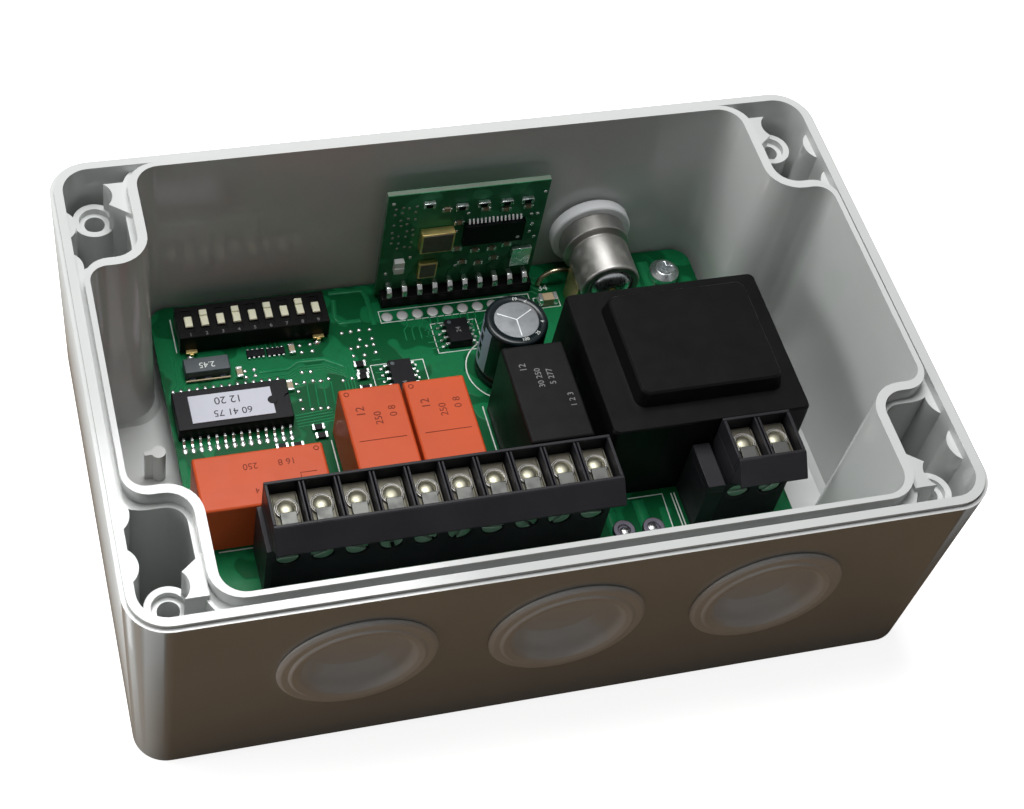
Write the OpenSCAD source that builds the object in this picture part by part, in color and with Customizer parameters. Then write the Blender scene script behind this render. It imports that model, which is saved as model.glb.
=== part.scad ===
// Open base of a wall-mounted radio receiver: a drafted box with a sealing rim and four screw wells,
// three cable grommets, and a circuit board with relays, transformer, screw terminals, a nine-way
// coding switch, an upright radio module and an antenna socket through the rear wall.
// Origin: middle of the underside. X runs along the box, Y towards the antenna, Z up. Millimetres.

/* [Box] */
// Outer length of the base, measured over its lip
box_l = 120; // [116:0.5:150]
// Outer depth of the base, measured over its lip
box_w = 80; // [78:0.5:100]
// Height of the main rim above the underside
box_h = 40; // [38:0.5:60]
// Outer corner radius at the lip
corner_r = 6; // [5:0.25:8]
// How far each outer face leans in from rim to underside
draft = 1.2; // [0.6:0.1:1.6]
// How far each inner face leans in from rim to floor
inner_draft = 1.1; // [0.6:0.1:1.4]
// Thickness of the floor
floor_t = 2.5; // [1.5:0.1:3]
// Width of the rounding along the bottom edge
foot_round = 1; // [0.4:0.1:1.5]
// Width of the chamfer between the inner walls and the floor
floor_chamfer = 1; // [0.4:0.1:1.5]

/* [Sealing rim] */
// Width of the outer lip
lip_w = 0.6; // [0.4:0.1:1]
// How far the outer lip lies below the main rim
lip_down = 0.6; // [0.3:0.1:1]
// Width of the main rim
rim_w = 1.3; // [1:0.1:1.8]
// Width of the seal groove
groove_w = 0.7; // [0.5:0.1:1]
// Depth of the seal groove below the main rim
groove_d = 1.5; // [0.8:0.1:2.5]
// Width of the sealing ridge along the straight walls
ridge_w = 0.8; // [0.6:0.1:1.2]
// Height of the sealing ridge above the main rim
ridge_up = 0.8; // [0.4:0.1:1.5]

/* [Screw wells] */
// Size of each well along X, from the inner face of the side wall
well_l = 9.1; // [8.5:0.1:10]
// Size of each well along Y, from the inner face of the long wall
well_w = 17.8; // [16:0.1:19]
// Width of the ridge where it turns round a well
well_ridge_w = 1.4; // [1.2:0.1:1.6]
// Thickness of the curved wall round a well
well_wall = 2.2; // [1.8:0.1:2.4]
// Radius where the curved wall meets the side wall
neck_r = 2.6; // [2:0.1:3]
// Radius of the bend that points into the box
bend_r = 5; // [4.5:0.1:6]
// Radius where the curved wall meets the long wall
throat_r = 3.6; // [3:0.1:4]
// How far the side-wall ribs in a well stand in
well_rib = 1.2; // [0.8:0.1:1.5]
// Radius of the side-wall ribs in a well
well_rib_r = 3.2; // [3:0.1:4]
// Distance between the side-wall ribs in a well
well_rib_step = 8; // [7:0.5:9]

/* [Lid-screw bosses] */
// Distance of each boss from the end of the box
boss_in_x = 6.2; // [6:0.1:7]
// Distance of each boss from the long side of the box
boss_in_y = 6.7; // [6.5:0.1:7]
// Outer diameter of a boss
boss_d = 6.4; // [5.6:0.1:6.8]
// Height of a boss top below the main rim
boss_down = 6; // [4:0.5:10]
// Diameter of the step at the top of a boss
boss_step_d = 4.5; // [4:0.1:5]
// Depth of the step at the top of a boss
boss_step = 1; // [0.5:0.1:2]
// Diameter of the screw hole
boss_hole_d = 3; // [2.5:0.1:3.5]
// Depth of the screw hole
boss_hole_depth = 20; // [10:1:26]

/* [Cable grommets] */
// Distance between neighbouring grommets
grommet_pitch = 29.4; // [26:0.1:32]
// Height of the grommet axis above the underside
grommet_z = 23.5; // [20:0.1:25]
// Diameter of a grommet flange
grommet_d = 22.2; // [20:0.1:24]
// Diameter of the wall hole for a grommet
grommet_hole_d = 17.6; // [15:0.1:18]
// Thickness of a grommet flange at its rim
grommet_flange = 0.9; // [0.6:0.1:1.5]
// Diameter of the dished recess of a grommet
grommet_dish_d = 15.4; // [13:0.1:15.6]
// Depth of the dished recess of a grommet
grommet_dish = 4.4; // [3:0.1:5]
// Thickness of the grommet membrane
membrane_t = 0.7; // [0.5:0.1:1]

/* [Main board] */
// Room between the lip and the board at each end
board_end_room = 14.25; // [14:0.25:18]
// Room between the lip and the board along each long side
board_side_room = 5; // [4.9:0.1:8]
// Thickness of the board
board_t = 1.6; // [1:0.1:2]
// Corner radius of the board
board_corner = 3; // [2.5:0.1:4]
// Height of the board's underside above the floor
standoff_h = 4.9; // [3:0.1:8]
// Diameter of a board standoff
standoff_d = 6; // [5:0.1:7]
// Distance of each standoff from the end of the board
standoff_in_x = 5.65; // [5:0.05:7]
// Distance of each standoff from the long edge of the board
standoff_in_y = 5.5; // [5:0.1:7]
// Diameter of a board screw head
screw_head_d = 5; // [4:0.1:5.5]
// Height of a board screw head
screw_head_h = 2; // [1:0.1:3]
// Diameter of a board screw shank
screw_d = 2.9; // [2.5:0.1:3.2]
// Length of a board screw shank
screw_l = 6; // [4:0.5:7]

/* [Screw terminals] */
// Pitch of the terminals
term_pitch = 5.08; // [5:0.01:5.3]
// Number of low-voltage terminals
term_ways = 10; // [6:1:10]
// Number of mains terminals
mains_ways = 2; // [2:1:2]
// Middle of the low-voltage terminals, from the left end of the board
term_in = 34.45; // [34:0.05:36]
// Middle of the mains terminals, from the right end of the board
mains_in = 8.45; // [8:0.05:9]
// Rear face of the terminal housings, from the front edge of the board
term_in_y = 23.2; // [22:0.1:24]
// Depth of a terminal housing
term_depth = 7.8; // [7.4:0.1:8.5]
// Height of a terminal housing above the board
term_h = 17.6; // [16:0.1:19]
// Height where the front of a housing steps back
term_brow_z = 10.8; // [10.4:0.1:12]
// How far the lower front of a housing steps back
term_brow = 1; // [0.6:0.1:1.4]
// Thickness of the wall between two cells
term_web = 0.9; // [0.7:0.1:1.2]
// Thickness of the rear wall of the cells
term_rear_wall = 1.3; // [1:0.1:1.6]
// Thickness of the front wall of the cells
term_front_wall = 1.2; // [1:0.1:1.5]
// Depth of the cells below the top
cell_depth = 7.5; // [7:0.1:8]
// Width of the shoulder at the left end of the housings
shoulder_w = 0.9; // [0.6:0.1:1.2]
// Width of the end block beside the mains terminals
end_block_w = 2.7; // [2:0.1:3]
// Height of the shoulder and the end block above the board
shoulder_h = 11.5; // [10:0.1:12]
// Height of the terminal screws above the board
term_screw_z = 7.6; // [7:0.1:8]
// Diameter of a terminal screw head
term_screw_d = 3.3; // [3:0.1:3.5]
// Length of a terminal screw head
term_screw_head = 1.8; // [1.4:0.1:2.2]
// Diameter of a terminal screw shank
term_shank_d = 2.4; // [2:0.1:2.5]
// Length of a terminal screw shank
term_shank_l = 3.2; // [2.5:0.1:3.4]
// Width of the slot in a terminal screw
slot_w = 0.6; // [0.5:0.1:0.8]
// Depth of the slot in a terminal screw
slot_d = 0.8; // [0.5:0.1:1.2]
// Radial clearance round a terminal screw
screw_gap = 0.2; // [0.15:0.05:0.3]

/* [Coding switch] */
// Number of sliders
dip_ways = 9; // [9:1:9]
// Pitch of the sliders
dip_pitch = 2.54; // [2.5:0.01:2.6]
// Middle of the switch, from the left end of the board
dip_in = 15.55; // [14:0.05:17]
// Middle of the switch, from the rear edge of the board
dip_in_y = 6.9; // [6:0.1:8]
// Length of the switch body
dip_l = 23.9; // [23.5:0.1:25]
// Depth of the switch body
dip_w = 7.5; // [7.3:0.1:8]
// Height of the switch body
dip_h = 5; // [4:0.1:6]
// Width of a slider
slider_w = 1.5; // [1.3:0.1:1.7]
// Length of the foot of a slider
slider_foot = 3.6; // [3.2:0.1:3.8]
// Length of a single slider knob
knob_l = 2.4; // [2:0.1:2.6]
// Gap between the two knobs of a split slider
knob_gap = 0.6; // [0.4:0.1:0.8]
// How far a slider stands above the switch body
knob_up = 0.9; // [0.5:0.1:1.2]
// Travel of a slider from its middle to either end
slider_travel = 0.9; // [0.6:0.1:1]
// Clearance on each side of a slider
slider_gap = 0.2; // [0.15:0.05:0.3]
// Depth of the slider channels
channel_d = 2.4; // [2:0.1:3]

/* [Power parts] */
// Length of a control relay
relay_l = 19.4; // [18:0.1:20]
// Width of a control relay
relay_w = 9.6; // [9:0.1:9.9]
// Height of a control relay
relay_h = 10.6; // [9:0.1:12]
// Middle of the lying relay, from the left end of the board
relay_left_in = 10.25; // [10:0.05:12]
// Gap between the lying relay and the terminals
relay_left_gap = 0.7; // [0.3:0.1:1]
// Middle of the left upright relay, from the left end of the board
relay_middle_in = 29; // [28:0.05:30]
// Gap between the two upright relays
relay_gap = 0.4; // [0.2:0.1:0.8]
// Length of a relay that stands across the board
relay_cross_l = 18.8; // [18:0.1:19.4]
// Width of the power relay
power_relay_w = 9.8; // [9:0.1:10]
// Length of the power relay
power_relay_l = 17.8; // [17:0.1:18.5]
// Height of the power relay
power_relay_h = 15.6; // [14:0.1:17]
// Middle of the power relay, from the left end of the board
power_relay_in = 53.95; // [53:0.05:55]
// Gap between the power relay and the terminals
power_relay_gap = 1.5; // [0.5:0.1:2]
// Length of the transformer at its foot
trafo_l = 32; // [30:0.1:32.5]
// Depth of the transformer at its foot
trafo_w = 27.2; // [26:0.1:27.4]
// Height of the transformer to its shoulder
trafo_h = 16.5; // [14:0.1:20]
// Height of the raised pad on the transformer
trafo_pad_h = 2.8; // [2:0.1:4]
// Length of the raised pad
trafo_pad_l = 22; // [20:0.1:24]
// Depth of the raised pad
trafo_pad_w = 18.4; // [17:0.1:20]
// Middle of the transformer, from the right end of the board
trafo_in = 14.55; // [14:0.05:16]
// Gap between the transformer and the terminals
trafo_gap = 0.2; // [0.2:0.1:1]
// Diameter of the smoothing capacitor
cap_d = 10; // [8:0.1:10.2]
// Height of the smoothing capacitor
cap_h = 12.5; // [10:0.1:16]
// Middle of the capacitor, from the left end of the board
cap_in = 54.15; // [53:0.05:55]
// Middle of the capacitor, from the rear edge of the board
cap_in_y = 20.2; // [19:0.1:21]
// Diameter of a round solder terminal on the board
ring_d = 3.5; // [3:0.1:4]

/* [Chips] */
// Length of the controller chip
mcu_l = 17.9; // [17:0.1:18.5]
// Width of the controller chip body
mcu_w = 7.5; // [7:0.1:8]
// Height of the controller chip above the board
mcu_h = 2.65; // [2:0.05:3]
// Middle of the controller chip, from the left end of the board
mcu_in = 9.6; // [9.4:0.05:11]
// Middle of the controller chip, from the rear edge of the board
mcu_in_y = 22.3; // [21.5:0.1:23]
// Length of the chip label
label_l = 12.8; // [10:0.1:14]
// Width of the chip label
label_w = 5.1; // [4:0.1:6]
// Thickness of the chip label
label_t = 0.15; // [0.1:0.05:0.3]
// Pitch of the chip leads
lead_pitch = 1.27; // [1.2:0.01:1.3]

/* [Radio module] */
// Length of the radio module board
radio_l = 26.2; // [25.5:0.1:28]
// Height of the radio module board
radio_h = 23.5; // [20:0.1:26]
// Thickness of the radio module board
radio_t = 1; // [0.8:0.1:1.6]
// Middle of the radio module, from the left end of the board
radio_in = 49.65; // [49:0.05:51]
// Front face of the radio module, from the rear edge of the board
radio_in_y = 3.1; // [3:0.1:4]
// Gap between the main board and the radio module
radio_lift = 1; // [0.5:0.1:1.5]
// Pitch of the module header
header_pitch = 2.54; // [2.5:0.01:2.56]
// Number of pins of the module header
header_pins = 10; // [8:1:10]
// Width of the module header strip
header_w = 2.3; // [2:0.1:2.6]
// Height of the module header strip
header_h = 2.7; // [2:0.1:3]
// Middle of the header beside the middle of the module
header_off = 0.15; // [-0.5:0.05:0.5]

/* [Antenna socket] */
// Middle of the socket, from the right end of the board
socket_in = 18.75; // [17:0.05:20]
// Height of the socket axis above the board
socket_z = 8; // [7:0.1:9]
// Diameter of the socket barrel
socket_d = 9.8; // [9:0.1:10.5]
// Diameter of the socket collar
collar_d = 11; // [10.6:0.1:12]
// Reach of the socket into the box, from the inner face of the wall
socket_reach = 13.4; // [12:0.1:14]
// Length of the barrel in front of the collar groove
barrel_l = 7; // [6:0.1:8]
// How far the sleeve stands out of the rear wall
sleeve_out = 8; // [6:0.5:12]
// Diameter of the sleeve outside the box
sleeve_d = 9.4; // [8.8:0.1:9.6]
// Bore of the sleeve
sleeve_bore = 7.6; // [6:0.1:8]
// Diameter of the white washer
washer_d = 13.4; // [12:0.1:15]
// Thickness of the white washer
washer_t = 2; // [1:0.1:2.4]

/* [Hidden] */

$fn = 48;
// Overlap that keeps a cut clear of the face it opens
cut = 0.1;
// Clearance between a piece and the board or hole it sits in
seat = 0.1;
fit = 0.2;
// Steps in each quarter curve of the sealing rim
curve_steps = 8;

rim_total = lip_w + rim_w + groove_w + ridge_w;
// Room behind the wall for the inner lip of a grommet, because the wall's two faces lean apart
grommet_slack = 0.8;
inner_x = box_l / 2 - rim_total;
inner_y = box_w / 2 - rim_total;
rim_in_x = box_l / 2 - lip_w - rim_w;
rim_in_y = box_w / 2 - lip_w - rim_w;
rim_in_r = corner_r - lip_w - rim_w;
lip_z = box_h - lip_down;
ridge_z = box_h + ridge_up;
boss_z = box_h - boss_down;
boss_span_x = box_l - 2 * boss_in_x;
boss_span_y = box_w - 2 * boss_in_y;
board_l = box_l - 2 * board_end_room;
board_w = box_w - 2 * board_side_room;
standoff_span_x = board_l - 2 * standoff_in_x;
standoff_span_y = board_w - 2 * standoff_in_y;
board_z = floor_t + standoff_h;
top_z = board_z + board_t;
// The board sits a little towards the rear wall
mid_y = 0.3;
left_end = -board_l / 2;
right_end = board_l / 2;
front_edge = mid_y - board_w / 2;
rear_edge = mid_y + board_w / 2;
room_top = ridge_z + cut;
room_foot = floor_t + floor_chamfer;
inner_slope = inner_draft / (box_h - room_foot);
outer_lean = atan(draft / lip_z);
wall_y_at_grommet = box_w / 2 - draft * (lip_z - grommet_z) / lip_z;
inner_y_at_grommet = inner_y - inner_slope * (room_top - grommet_z);
socket_x = right_end - socket_in;
socket_axis_z = top_z + socket_z;
wall_y_at_socket = box_w / 2 - draft * (lip_z - socket_axis_z) / lip_z;
inner_y_at_socket = inner_y - inner_slope * (room_top - socket_axis_z);
// Front face of the white washer, which stands upright against the leaning wall
washer_lean = washer_d / 2 * inner_slope;
washer_y = inner_y_at_socket - washer_lean - washer_t - seat;
socket_front_y = inner_y_at_socket - socket_reach;
radio_x = left_end + radio_in;
radio_y = rear_edge - radio_in_y;
dip_x = left_end + dip_in;
dip_y = rear_edge - dip_in_y;
mcu_x = left_end + mcu_in;
mcu_y = rear_edge - mcu_in_y;
cap_x = left_end + cap_in;
cap_y = rear_edge - cap_in_y;
term_x = left_end + term_in;
mains_x = right_end - mains_in;
term_back_y = front_edge + term_in_y;
term_front_y = term_back_y - term_depth;
term_face_y = term_front_y + term_brow;
relay_left_x = left_end + relay_left_in;
relay_left_y = term_back_y + relay_left_gap + relay_w / 2;
relay_middle_x = left_end + relay_middle_in;
power_relay_x = left_end + power_relay_in;
power_relay_y = term_back_y + power_relay_gap + power_relay_l / 2;
trafo_x = right_end - trafo_in;
trafo_y = term_back_y + trafo_gap + trafo_w / 2;
slider_floor_z = top_z + dip_h - channel_d;

// Points of an arc about a centre
function arc(c, r, a0, a1) = [for (i = [0:curve_steps])
    let (a = a0 + (a1 - a0) * i / curve_steps) [c[0] + r * cos(a), c[1] + r * sin(a)]];
// One quarter of the inner wall line, moved out by wall_d and, round the well, by well_d
function rim_quarter(wall_d, well_d) =
    let (sx = inner_x + wall_d, fy = inner_y + wall_d,
        leg_x = inner_x - well_l + well_d, shoulder_y = inner_y - well_w + well_d,
        mean_d = (wall_d + well_d) / 2, rn = neck_r + mean_d, rb = bend_r - well_d,
        rc = throat_r + mean_d)
    concat(arc([sx - rn, shoulder_y - rn], rn, 0, 90),
        arc([leg_x + rb, shoulder_y + rb], rb, 270, 180),
        arc([leg_x - rc, fy - rc], rc, 0, 90));
function flip_x(p) = [for (i = [len(p) - 1:-1:0]) [-p[i][0], p[i][1]]];
function flip_y(p) = [for (i = [len(p) - 1:-1:0]) [p[i][0], -p[i][1]]];
function turned(p) = [for (q = p) [-q[0], -q[1]]];
function rim_line(wall_d, well_d) =
    let (q = rim_quarter(wall_d, well_d)) concat(q, flip_x(q), turned(q), flip_y(q));

module rounded_rect(hx, hy, r) {
    square([2 * (hx - r), 2 * hy], center = true);
    square([2 * hx, 2 * (hy - r)], center = true);
    for (sx = [-1, 1], sy = [-1, 1])
        translate([sx * (hx - r), sy * (hy - r)]) circle(r);
}

module slab(hx, hy, r, h) {
    linear_extrude(h) rounded_rect(hx, hy, r);
}

module block(l, w, h) {
    translate([-l / 2, -w / 2, 0]) cube([l, w, h]);
}

// Box with rounded upright edges and a small chamfer round its top
module moulded_block(l, w, h, edge = 0.4) {
    hull() {
        for (sx = [-1, 1], sy = [-1, 1]) translate([sx * (l / 2 - edge), sy * (w / 2 - edge), 0]) {
            cylinder(r = edge, h = h - edge, $fn = 16);
            cylinder(r = edge / 2, h = h, $fn = 16);
        }
    }
}

// Outer body: leaning walls and a rounded foot
module outer_body() {
    skin = 0.01;
    foot_x = box_l / 2 - draft;
    foot_y = box_w / 2 - draft;
    hull() {
        slab(foot_x - foot_round, foot_y - foot_round, corner_r - draft - foot_round, skin);
        translate([0, 0, foot_round]) slab(foot_x, foot_y, corner_r - draft, skin);
        translate([0, 0, lip_z - skin]) slab(box_l / 2, box_w / 2, corner_r, skin);
    }
    translate([0, 0, lip_z - 1])
        slab(box_l / 2 - lip_w, box_w / 2 - lip_w, corner_r - lip_w, 1 + lip_down);
}

// Room inside the sealing ridge: one lean from the ridge's top to the chamfer along the floor
module inner_room() {
    lean = inner_slope * (room_top - room_foot);
    foot_x = (inner_x - lean) / inner_x;
    foot_y = (inner_y - lean) / inner_y;
    edge_x = (inner_x - lean - floor_chamfer) / (inner_x - lean);
    edge_y = (inner_y - lean - floor_chamfer) / (inner_y - lean);
    overlap = 0.001;
    translate([0, 0, room_top]) mirror([0, 0, 1])
        linear_extrude(room_top - room_foot, scale = [foot_x, foot_y], slices = 1) polygon(rim_line(0, 0));
    translate([0, 0, room_foot + overlap]) mirror([0, 0, 1])
        linear_extrude(floor_chamfer + overlap, scale = [edge_x, edge_y], slices = 1)
        scale([foot_x, foot_y]) polygon(rim_line(0, 0));
}

// Everything inside the outer line of the sealing ridge, up to the ridge's top
module ridge_body() {
    translate([0, 0, box_h - cut]) linear_extrude(ridge_up + cut) polygon(rim_line(ridge_w, well_ridge_w));
}

// Seal groove between the main rim and the ridge
module seal_groove() {
    translate([0, 0, box_h - groove_d]) linear_extrude(groove_d + cut) difference() {
        rounded_rect(rim_in_x, rim_in_y, rim_in_r);
        polygon(rim_line(ridge_w, well_ridge_w));
    }
}

// The four corner wells outside the seal, open at the top
module wells() {
    past_rim = rim_total;
    rib_y = inner_y - well_w + well_wall;
    translate([0, 0, floor_t]) linear_extrude(box_h) difference() {
        rounded_rect(rim_in_x, rim_in_y, rim_in_r);
        polygon(rim_line(past_rim, well_wall));
        for (sx = [-1, 1], sy = [-1, 1], k = [0, 1])
            translate([sx * (rim_in_x + well_rib_r - well_rib), sy * (rib_y + k * well_rib_step)])
                circle(well_rib_r);
    }
}

// Screw boss in a well, carried by a rib from the curved wall
module well_boss() {
    leg_x = inner_x - well_l;
    bx = boss_span_x / 2;
    by = boss_span_y / 2;
    rib_end = bx - boss_d / 4;
    translate([bx, by, floor_t - cut]) cylinder(d = boss_d, h = boss_z - floor_t + cut);
    translate([0, 0, floor_t - cut]) linear_extrude(lip_z - floor_t)
        polygon([[leg_x + well_ridge_w, by - boss_d / 2 - 1], [rib_end, by - boss_d / 4],
            [rib_end, by + boss_d / 3], [leg_x + well_ridge_w, by + boss_d / 3]]);
}

module boss_bore() {
    translate([boss_span_x / 2, boss_span_y / 2, boss_z - boss_hole_depth])
        cylinder(d = boss_hole_d, h = box_h);
    translate([boss_span_x / 2, boss_span_y / 2, boss_z - boss_step])
        cylinder(d = boss_step_d, h = box_h);
    translate([boss_span_x / 2, boss_span_y / 2, boss_z])
        cylinder(d = boss_d - boss_step, h = box_h);
}

module four_corners() {
    for (sx = [0, 1], sy = [0, 1]) mirror([sx, 0, 0]) mirror([0, sy, 0]) children();
}

module standoffs() {
    for (sx = [-1, 1], sy = [-1, 1])
        translate([sx * standoff_span_x / 2, mid_y + sy * standoff_span_y / 2, floor_t - cut])
            cylinder(d = standoff_d, h = standoff_h + cut);
}

module board_screw_places() {
    for (s = [-1, 1]) translate([s * standoff_span_x / 2, mid_y + s * standoff_span_y / 2, 0]) children();
}

// Small round-headed stop that guides the left edge of the board
module board_stop() {
    head_d = 2.2;
    stop_x = left_end - 2.6;
    stop_y = rear_edge - 27.3;
    translate([stop_x, stop_y, floor_t - cut]) {
        cylinder(d = head_d, h = board_z + board_t - floor_t);
        translate([-head_d, -head_d / 6, 0]) cube([head_d, head_d / 3, board_z + board_t - floor_t]);
    }
}

module at_grommet(k) {
    translate([k * grommet_pitch, -wall_y_at_grommet, grommet_z]) rotate([90 + outer_lean, 0, 0]) children();
}

module enclosure_base() {
    color("lightgray") difference() {
        union() {
            difference() {
                union() {
                    outer_body();
                    ridge_body();
                }
                inner_room();
                seal_groove();
                wells();
            }
            four_corners() well_boss();
            standoffs();
            board_stop();
        }
        four_corners() boss_bore();
        for (k = [-1, 0, 1]) at_grommet(k)
            translate([0, 0, -2 * rim_total]) cylinder(d = grommet_hole_d, h = 4 * rim_total);
        translate([socket_x, inner_y - 2 * rim_total, socket_axis_z]) rotate([-90, 0, 0])
            cylinder(d = socket_d + 2 * fit, h = 4 * rim_total);
        board_screw_places() translate([0, 0, board_z - screw_l])
            cylinder(d = screw_d, h = screw_l + cut);
    }
}

// Closed cable grommet, turned about its own axis; z = 0 is the wall's outer face
module grommet(k) {
    wall_t = wall_y_at_grommet - inner_y_at_grommet;
    neck_r2 = grommet_hole_d / 2 - seat;
    flange_r = grommet_d / 2;
    dish_r = grommet_dish_d / 2;
    back_z = -wall_t - grommet_slack;
    lip_r = neck_r2 + 1.2;
    floor_z = grommet_flange - grommet_dish;
    color("gainsboro") at_grommet(k) rotate_extrude($fn = 64) polygon([
        [0, floor_z], [dish_r * 0.45, floor_z + 0.2], [dish_r * 0.8, floor_z + 0.9],
        [dish_r * 0.93, floor_z + 2.2], [dish_r, grommet_flange - 0.5], [dish_r + 0.5, grommet_flange],
        [flange_r - 1.9, grommet_flange + 0.2], [flange_r - 1.5, grommet_flange - 0.1],
        [flange_r - 0.5, grommet_flange - 0.1], [flange_r, seat + 0.35], [flange_r, seat],
        [neck_r2, seat], [neck_r2, back_z + 0.2], [lip_r, back_z], [lip_r, back_z - 0.6],
        [neck_r2, back_z - 1.2], [neck_r2 - 0.8, back_z - 1.2], [neck_r2 - 0.8, floor_z - membrane_t],
        [0, floor_z - membrane_t]]);
}

module grommet_left() { grommet(-1); }
module grommet_middle() { grommet(0); }
module grommet_right() { grommet(1); }

module main_board() {
    color("seagreen") difference() {
        translate([0, mid_y, board_z + seat]) slab(board_l / 2, board_w / 2, board_corner, board_t - seat);
        board_screw_places() translate([0, 0, board_z - cut])
            cylinder(d = screw_d + 2 * fit, h = board_t + 3 * cut);
    }
}

module board_screws() {
    slot_h = screw_head_h / 2;
    color("silver") board_screw_places() difference() {
        union() {
            translate([0, 0, top_z + seat]) cylinder(d = screw_head_d, h = screw_head_h - 0.8);
            translate([0, 0, top_z + seat + screw_head_h - 0.8])
                cylinder(d1 = screw_head_d, d2 = screw_head_d - 1.8, h = 0.8);
            translate([0, 0, board_z - screw_l + seat])
                cylinder(d = screw_d - 2 * seat, h = screw_l + board_t);
        }
        for (a = [0, 90]) rotate([0, 0, a]) translate([0, 0, top_z + seat + screw_head_h - slot_h])
            block(screw_head_d / 2, 0.6, screw_head_h);
    }
}

module at_socket(y) {
    translate([socket_x, y, socket_axis_z]) rotate([-90, 0, 0]) children();
}

// Metal shell of the antenna socket: barrel, groove, collar and outer sleeve in one turned piece
module antenna_socket() {
    groove = 0.8;
    groove_at = barrel_l;
    collar_at = barrel_l + groove;
    collar_end = washer_y - seat - socket_front_y;
    end = wall_y_at_socket + sleeve_out - socket_front_y;
    barrel_r = socket_d / 2;
    cup_r = barrel_r - 1.1;
    cup_d = 1.2;
    shoulder = 0.3;
    color("silver") at_socket(socket_front_y) rotate_extrude($fn = 64) polygon([
        [cup_r, 0], [barrel_r - 0.3, 0], [barrel_r, 0.3], [barrel_r, groove_at],
        [barrel_r - 0.6, groove_at], [barrel_r - 0.6, collar_at], [collar_d / 2, collar_at + 0.3],
        [collar_d / 2, collar_end], [barrel_r, collar_end], [barrel_r, end - sleeve_out + shoulder],
        [sleeve_d / 2, end - sleeve_out + shoulder], [sleeve_d / 2, end - 0.4],
        [sleeve_d / 2 - 0.4, end], [sleeve_bore / 2, end], [sleeve_bore / 2, end - sleeve_out],
        [2, end - sleeve_out], [2, cup_d + 1], [cup_r, cup_d + 1]]);
}

module antenna_insulator() {
    cup_r = socket_d / 2 - 1.1 - seat;
    color("whitesmoke") at_socket(socket_front_y) {
        translate([0, 0, 0.5]) difference() {
            cylinder(r = cup_r, h = 1.6, $fn = 64);
            translate([0, 0, -cut]) cylinder(r = 0.8, h = 2);
        }
    }
}

module antenna_contact() {
    end = wall_y_at_socket + sleeve_out - 2 - socket_front_y;
    color("gold") at_socket(socket_front_y) {
        translate([0, 0, -0.9]) cylinder(r = 0.7, h = 3.3);
        translate([0, 0, 2.3]) cylinder(r = 1.2, h = end - 2.3);
    }
}

module antenna_washer() {
    color("white") at_socket(washer_y) difference() {
        cylinder(d = washer_d, h = washer_t, $fn = 64);
        translate([0, 0, -cut]) cylinder(d = socket_d + 2 * fit, h = washer_t + 2 * cut, $fn = 64);
    }
}

// Sheet-metal foot that holds the barrel over the board
module antenna_bracket() {
    foot_y = socket_front_y + 1.2;
    foot_w = 5;
    color("tan") difference() {
        translate([socket_x, foot_y + foot_w / 2, top_z]) block(socket_d, foot_w, socket_z - 1);
        at_socket(foot_y - 1) cylinder(d = socket_d + 2 * seat, h = foot_w + 2, $fn = 64);
        translate([socket_x, foot_y + foot_w / 2, top_z - cut]) block(socket_d - 2.4, foot_w + 1, 2.2);
    }
}

// Short bowed wire from the board to the collar of the socket
module antenna_link() {
    bow_r = 3.2;
    wire_r = 0.4;
    wire_y = inner_y_at_socket - 4.9;
    color("sandybrown") translate([socket_x - collar_d / 2, wire_y, top_z + seat])
        rotate([90, 0, 0]) rotate([0, 0, 30]) rotate_extrude(angle = 150, $fn = 32)
        translate([bow_r, 0]) circle(wire_r, $fn = 16);
}

module at_radio(x, z) {
    translate([radio_x + x, radio_y, top_z + radio_lift + z]) children();
}

module radio_board() {
    color("darkgreen") at_radio(-radio_l / 2, 0) cube([radio_l, radio_t, radio_h]);
}

module radio_pin_places() {
    for (k = [0:header_pins - 1])
        translate([radio_x + header_off + (k - (header_pins - 1) / 2) * header_pitch, 0, 0]) children();
}

// Dark strip of the module header, under its angled pins
module radio_header() {
    color("dimgray") translate([radio_x + header_off, radio_y - header_w / 2 - seat, top_z])
        block(header_pins * header_pitch, header_w, header_h);
}

// Angled header pins: forward from the module over the strip, then down to the board
module radio_pins() {
    pin = 0.64;
    pin_z = header_h + 0.6;
    bead_r = 0.8;
    leg_y = -header_w - 2 * seat - pin;
    color("silver") radio_pin_places() translate([0, radio_y, top_z]) {
        translate([-pin / 2, leg_y, pin_z]) cube([pin, -leg_y - seat / 2, pin]);
        translate([-pin / 2, leg_y, 0]) cube([pin, pin, pin_z + pin / 2]);
        translate([0, -seat / 2, pin_z + pin / 2]) rotate([90, 0, 0])
            cylinder(r1 = bead_r, r2 = bead_r / 2, h = bead_r, $fn = 24);
    }
}

module radio_chip() {
    chip_l = 10;
    chip_w = 4.7;
    chip_t = 1.6;
    lead = 0.9;
    lead_step = 0.65;
    leads = 14;
    color("dimgray") at_radio(4.9, 10.9) {
        translate([-chip_l / 2, -chip_t - seat, 0]) cube([chip_l, chip_t, chip_w]);
        for (k = [0:leads - 1], z = [-lead, chip_w])
            translate([(k - (leads - 1) / 2) * lead_step - 0.15, -0.55, z]) cube([0.3, 0.4, lead]);
    }
}

// Flat part on the front face of the radio module
module on_radio(x, z, l, h, depth) {
    at_radio(x, z) translate([-l / 2, -depth - seat, -h / 2]) cube([l, depth, h]);
}

module radio_crystals() {
    color("gold") {
        on_radio(-4.5, 13.1, 5.4, 4.4, 1.65);
        on_radio(-5.15, 5.75, 3.1, 3.5, 1);
    }
    color("silver") on_radio(10.45, 6.4, 3.3, 4.2, 0.85);
}

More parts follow.
